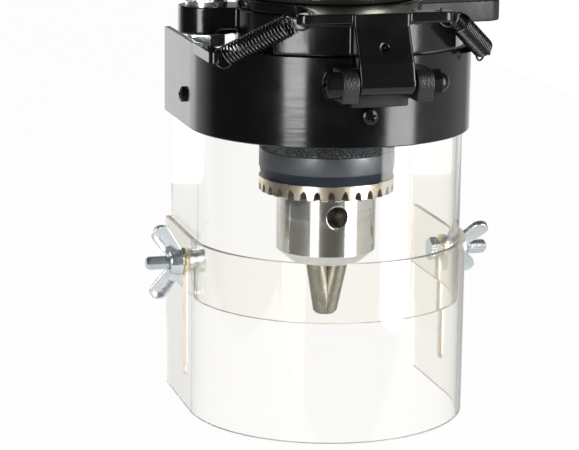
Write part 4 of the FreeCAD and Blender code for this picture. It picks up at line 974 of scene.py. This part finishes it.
# %% Sleeve body
SLEEVE_R, SLEEVE_IN, SLEEVE_TOP, GEAR_TOP, LATHE_SIDES = 26.5, 23.2, -48.9, -78.9, 160
KNURL_TOP, KNURL_LOW, KNURL_DEEP, KNURL_LEAD = -50.6, -67.6, 0.6, 0.5
RELIEF_TOP, RELIEF_IN, RELIEF_LEAD, RELIEF_STEP = -75.0, 0.9, 0.4, 0.225
BAND_IN, BAND_LEAD, CHAMFER = 0.1, 0.3, 1.0


def lathe(name, profile):
    """A closed turned body from (radius, height) points in millimetres, counted anticlockwise."""
    rings = len(profile)
    points, faces = [], []
    for i in range(LATHE_SIDES):
        a = 2 * pi * i / LATHE_SIDES
        points += [(r * cos(a) * MM, r * sin(a) * MM, z * MM) for r, z in profile]
        here, there = i * rings, (i + 1) % LATHE_SIDES * rings
        for k in range(rings):
            n = (k + 1) % rings
            faces.append((here + k, there + k, there + n, here + n))
    mesh = bpy.data.meshes.new(name)
    mesh.from_pydata(points, [], faces)
    return new_object(name, mesh)


root_r, band_r = SLEEVE_R - KNURL_DEEP, SLEEVE_R - BAND_IN
sleeve_profile = [
    (SLEEVE_IN, GEAR_TOP), (SLEEVE_R - RELIEF_IN, GEAR_TOP),
    (SLEEVE_R - RELIEF_STEP, RELIEF_TOP - RELIEF_LEAD), (SLEEVE_R, RELIEF_TOP),
    (SLEEVE_R, KNURL_LOW - KNURL_LEAD), (root_r, KNURL_LOW), (root_r, KNURL_TOP),
    (band_r, KNURL_TOP + BAND_LEAD), (band_r, SLEEVE_TOP - CHAMFER),
    (band_r - CHAMFER, SLEEVE_TOP), (SLEEVE_IN, SLEEVE_TOP),
]
print("sleeve profile:", len(sleeve_profile), "points")

# %% Knurl
KNURL_COLUMNS, KNURL_ROW, TOOTH_SIDES, TOOTH_SHARE, TIP_SHARE = 76, 1.1, 4, 0.98, 0.13


def facing_out(tree):
    """The turn at each point that makes Z look away from the spindle's axis and keeps X upright."""
    spot = add(tree, "GeometryNodeInputPosition")
    flat = add(tree, "ShaderNodeVectorMath", {0: spot, 1: LEVEL}, operation="MULTIPLY")
    outward = add(tree, "FunctionNodeAlignRotationToVector", {"Vector": flat}, axis="Z")
    return add(tree, "FunctionNodeAlignRotationToVector", {"Rotation": outward, "Vector": UP},
               axis="X", pivot_axis="Z")


# Faces below the relief's top take the darker finish: painted shade on the downward-facing relief.
def under_relief(centre, way):
    return centre.z < RELIEF_TOP


knurl_tree, size = open_tree("knurl_in_rows", {
    "Root radius": root_r * MM, "Columns": KNURL_COLUMNS, "Half column": pi / KNURL_COLUMNS,
    "First row": (KNURL_TOP - KNURL_ROW) * MM, "Row step": -KNURL_ROW * MM, "Tooth height": KNURL_DEEP * MM,
    "Rows": int((KNURL_TOP - KNURL_LOW) / KNURL_ROW), "Tooth radius": KNURL_ROW * TOOTH_SHARE * MM,
    "Tip radius": KNURL_ROW * TIP_SHARE * MM})
top_place = add(knurl_tree, "ShaderNodeCombineXYZ", {"Z": size["First row"]})
down = add(knurl_tree, "ShaderNodeCombineXYZ", {"Z": size["Row step"]})
rows = add(knurl_tree, "GeometryNodeMeshLine", {
    "Count": size["Rows"], "Start Location": top_place, "Offset": down})
circle = add(knurl_tree, "GeometryNodeMeshCircle", {
    "Vertices": size["Columns"], "Radius": size["Root radius"]})
row = add(knurl_tree, "GeometryNodeInputIndex")
row_turn = add(knurl_tree, "ShaderNodeMath", {0: row, 1: size["Half column"]}, operation="MULTIPLY")
stagger = add(knurl_tree, "ShaderNodeCombineXYZ", {"Z": row_turn})
rounds = add(knurl_tree, "GeometryNodeInstanceOnPoints", {
    "Points": rows, "Instance": circle, "Rotation": stagger})
grid = add(knurl_tree, "GeometryNodeRealizeInstances", {"Geometry": rounds})
tooth = add(knurl_tree, "GeometryNodeMeshCone", {
    "Vertices": TOOTH_SIDES, "Radius Bottom": size["Tooth radius"], "Radius Top": size["Tip radius"],
    "Depth": size["Tooth height"]})
teeth = add(knurl_tree, "GeometryNodeInstanceOnPoints", {
    "Points": grid, "Instance": tooth, "Rotation": facing_out(knurl_tree)})
both = add(knurl_tree, "GeometryNodeJoinGeometry", {"Geometry": [size["Geometry"], teeth]})
close_tree(knurl_tree, both, sleeve_steel)
sleeve = grow(lathe("sleeve_body", sleeve_profile), knurl_tree, "chuck_sleeve_knurled")
paint(sleeve.data, sleeve_steel, painted_shade_relief, under_relief)
stand_in(sleeve, "chuck_sleeve")
print("sleeve", len(sleeve.data.polygons), "faces")

# %% [markdown]
# ## Gear ring for the chuck key
# The key's small gear runs in gaps that are milled into the ring's lower corner. A gap is widest at the edge,
# round at its top, and runs out towards the axis. The tree sets one cutter, a slim cone, on each point of a
# circle and takes them all away from a turned ring. The milled faces look along the turn, which a turned face
# never does, and take the dark finish of the key holes: painted shade in the gaps.

# %% Gear ring
GEAR_LOW, GEAR_IN, GEAR_LIP, GEAR_TEETH, GEAR_PHASE, GEAR_EDGE = -84.7, 19.45, 2.2, 31, 2.2, 0.5
GAP_FAR, GAP_NEAR, GAP_HALF, GAP_RISE, GAP_SIDES, GAP_POINT = 28.5, 22.2, 2.3, 5.7, 8, 0.1
MILLED_LIMIT = 0.15
gear_profile = [
    (GEAR_IN, GEAR_LOW), (SLEEVE_R - GEAR_EDGE, GEAR_LOW), (SLEEVE_R, GEAR_LOW + GEAR_EDGE),
    (SLEEVE_R, GEAR_TOP), (SLEEVE_IN, GEAR_TOP), (SLEEVE_IN, GEAR_LOW + GEAR_LIP),
    (GEAR_IN, GEAR_LOW + GEAR_LIP),
]


def in_tooth_gap(centre, way):
    return along_turn(centre, way) > MILLED_LIMIT


gear_tree, size = open_tree("milled_gaps", {
    "Teeth": GEAR_TEETH, "Near radius": GAP_NEAR * MM, "Length": (GAP_FAR - GAP_NEAR) * MM,
    "Low": GEAR_LOW * MM, "Phase": radians(GEAR_PHASE), "Half width": GAP_HALF / GAP_RISE,
    "Rise": GAP_RISE * MM})
circle = add(gear_tree, "GeometryNodeMeshCircle", {"Vertices": size["Teeth"], "Radius": size["Near radius"]})
low_place = add(gear_tree, "ShaderNodeCombineXYZ", {"Z": size["Low"]})
turned_by = add(gear_tree, "ShaderNodeCombineXYZ", {"Z": size["Phase"]})
circle = add(gear_tree, "GeometryNodeTransform", {
    "Geometry": circle, "Translation": low_place, "Rotation": turned_by})
cutter = add(gear_tree, "GeometryNodeMeshCone", {
    "Vertices": GAP_SIDES, "Radius Bottom": GAP_POINT * MM, "Radius Top": size["Rise"],
    "Depth": size["Length"]})
slim = add(gear_tree, "ShaderNodeCombineXYZ", {"X": 1.0, "Y": size["Half width"], "Z": 1.0})
cutters = add(gear_tree, "GeometryNodeInstanceOnPoints", {
    "Points": circle, "Instance": cutter, "Rotation": facing_out(gear_tree), "Scale": slim})
cutters = add(gear_tree, "GeometryNodeRealizeInstances", {"Geometry": cutters})
gaps = add(gear_tree, "GeometryNodeMeshBoolean", {"Mesh 1": size["Geometry"], "Mesh 2": cutters},
           operation="DIFFERENCE", solver="EXACT")
close_tree(gear_tree, gaps, gear_steel)
gear = grow(lathe("gear_body", gear_profile), gear_tree, "chuck_gear_milled")
# The milled gaps take the dark finish: painted shade in them.
paint(gear.data, gear_steel, painted_shade_in_holes, in_tooth_gap)
true_turn(gear)
stand_in(gear, "chuck_gear_ring")
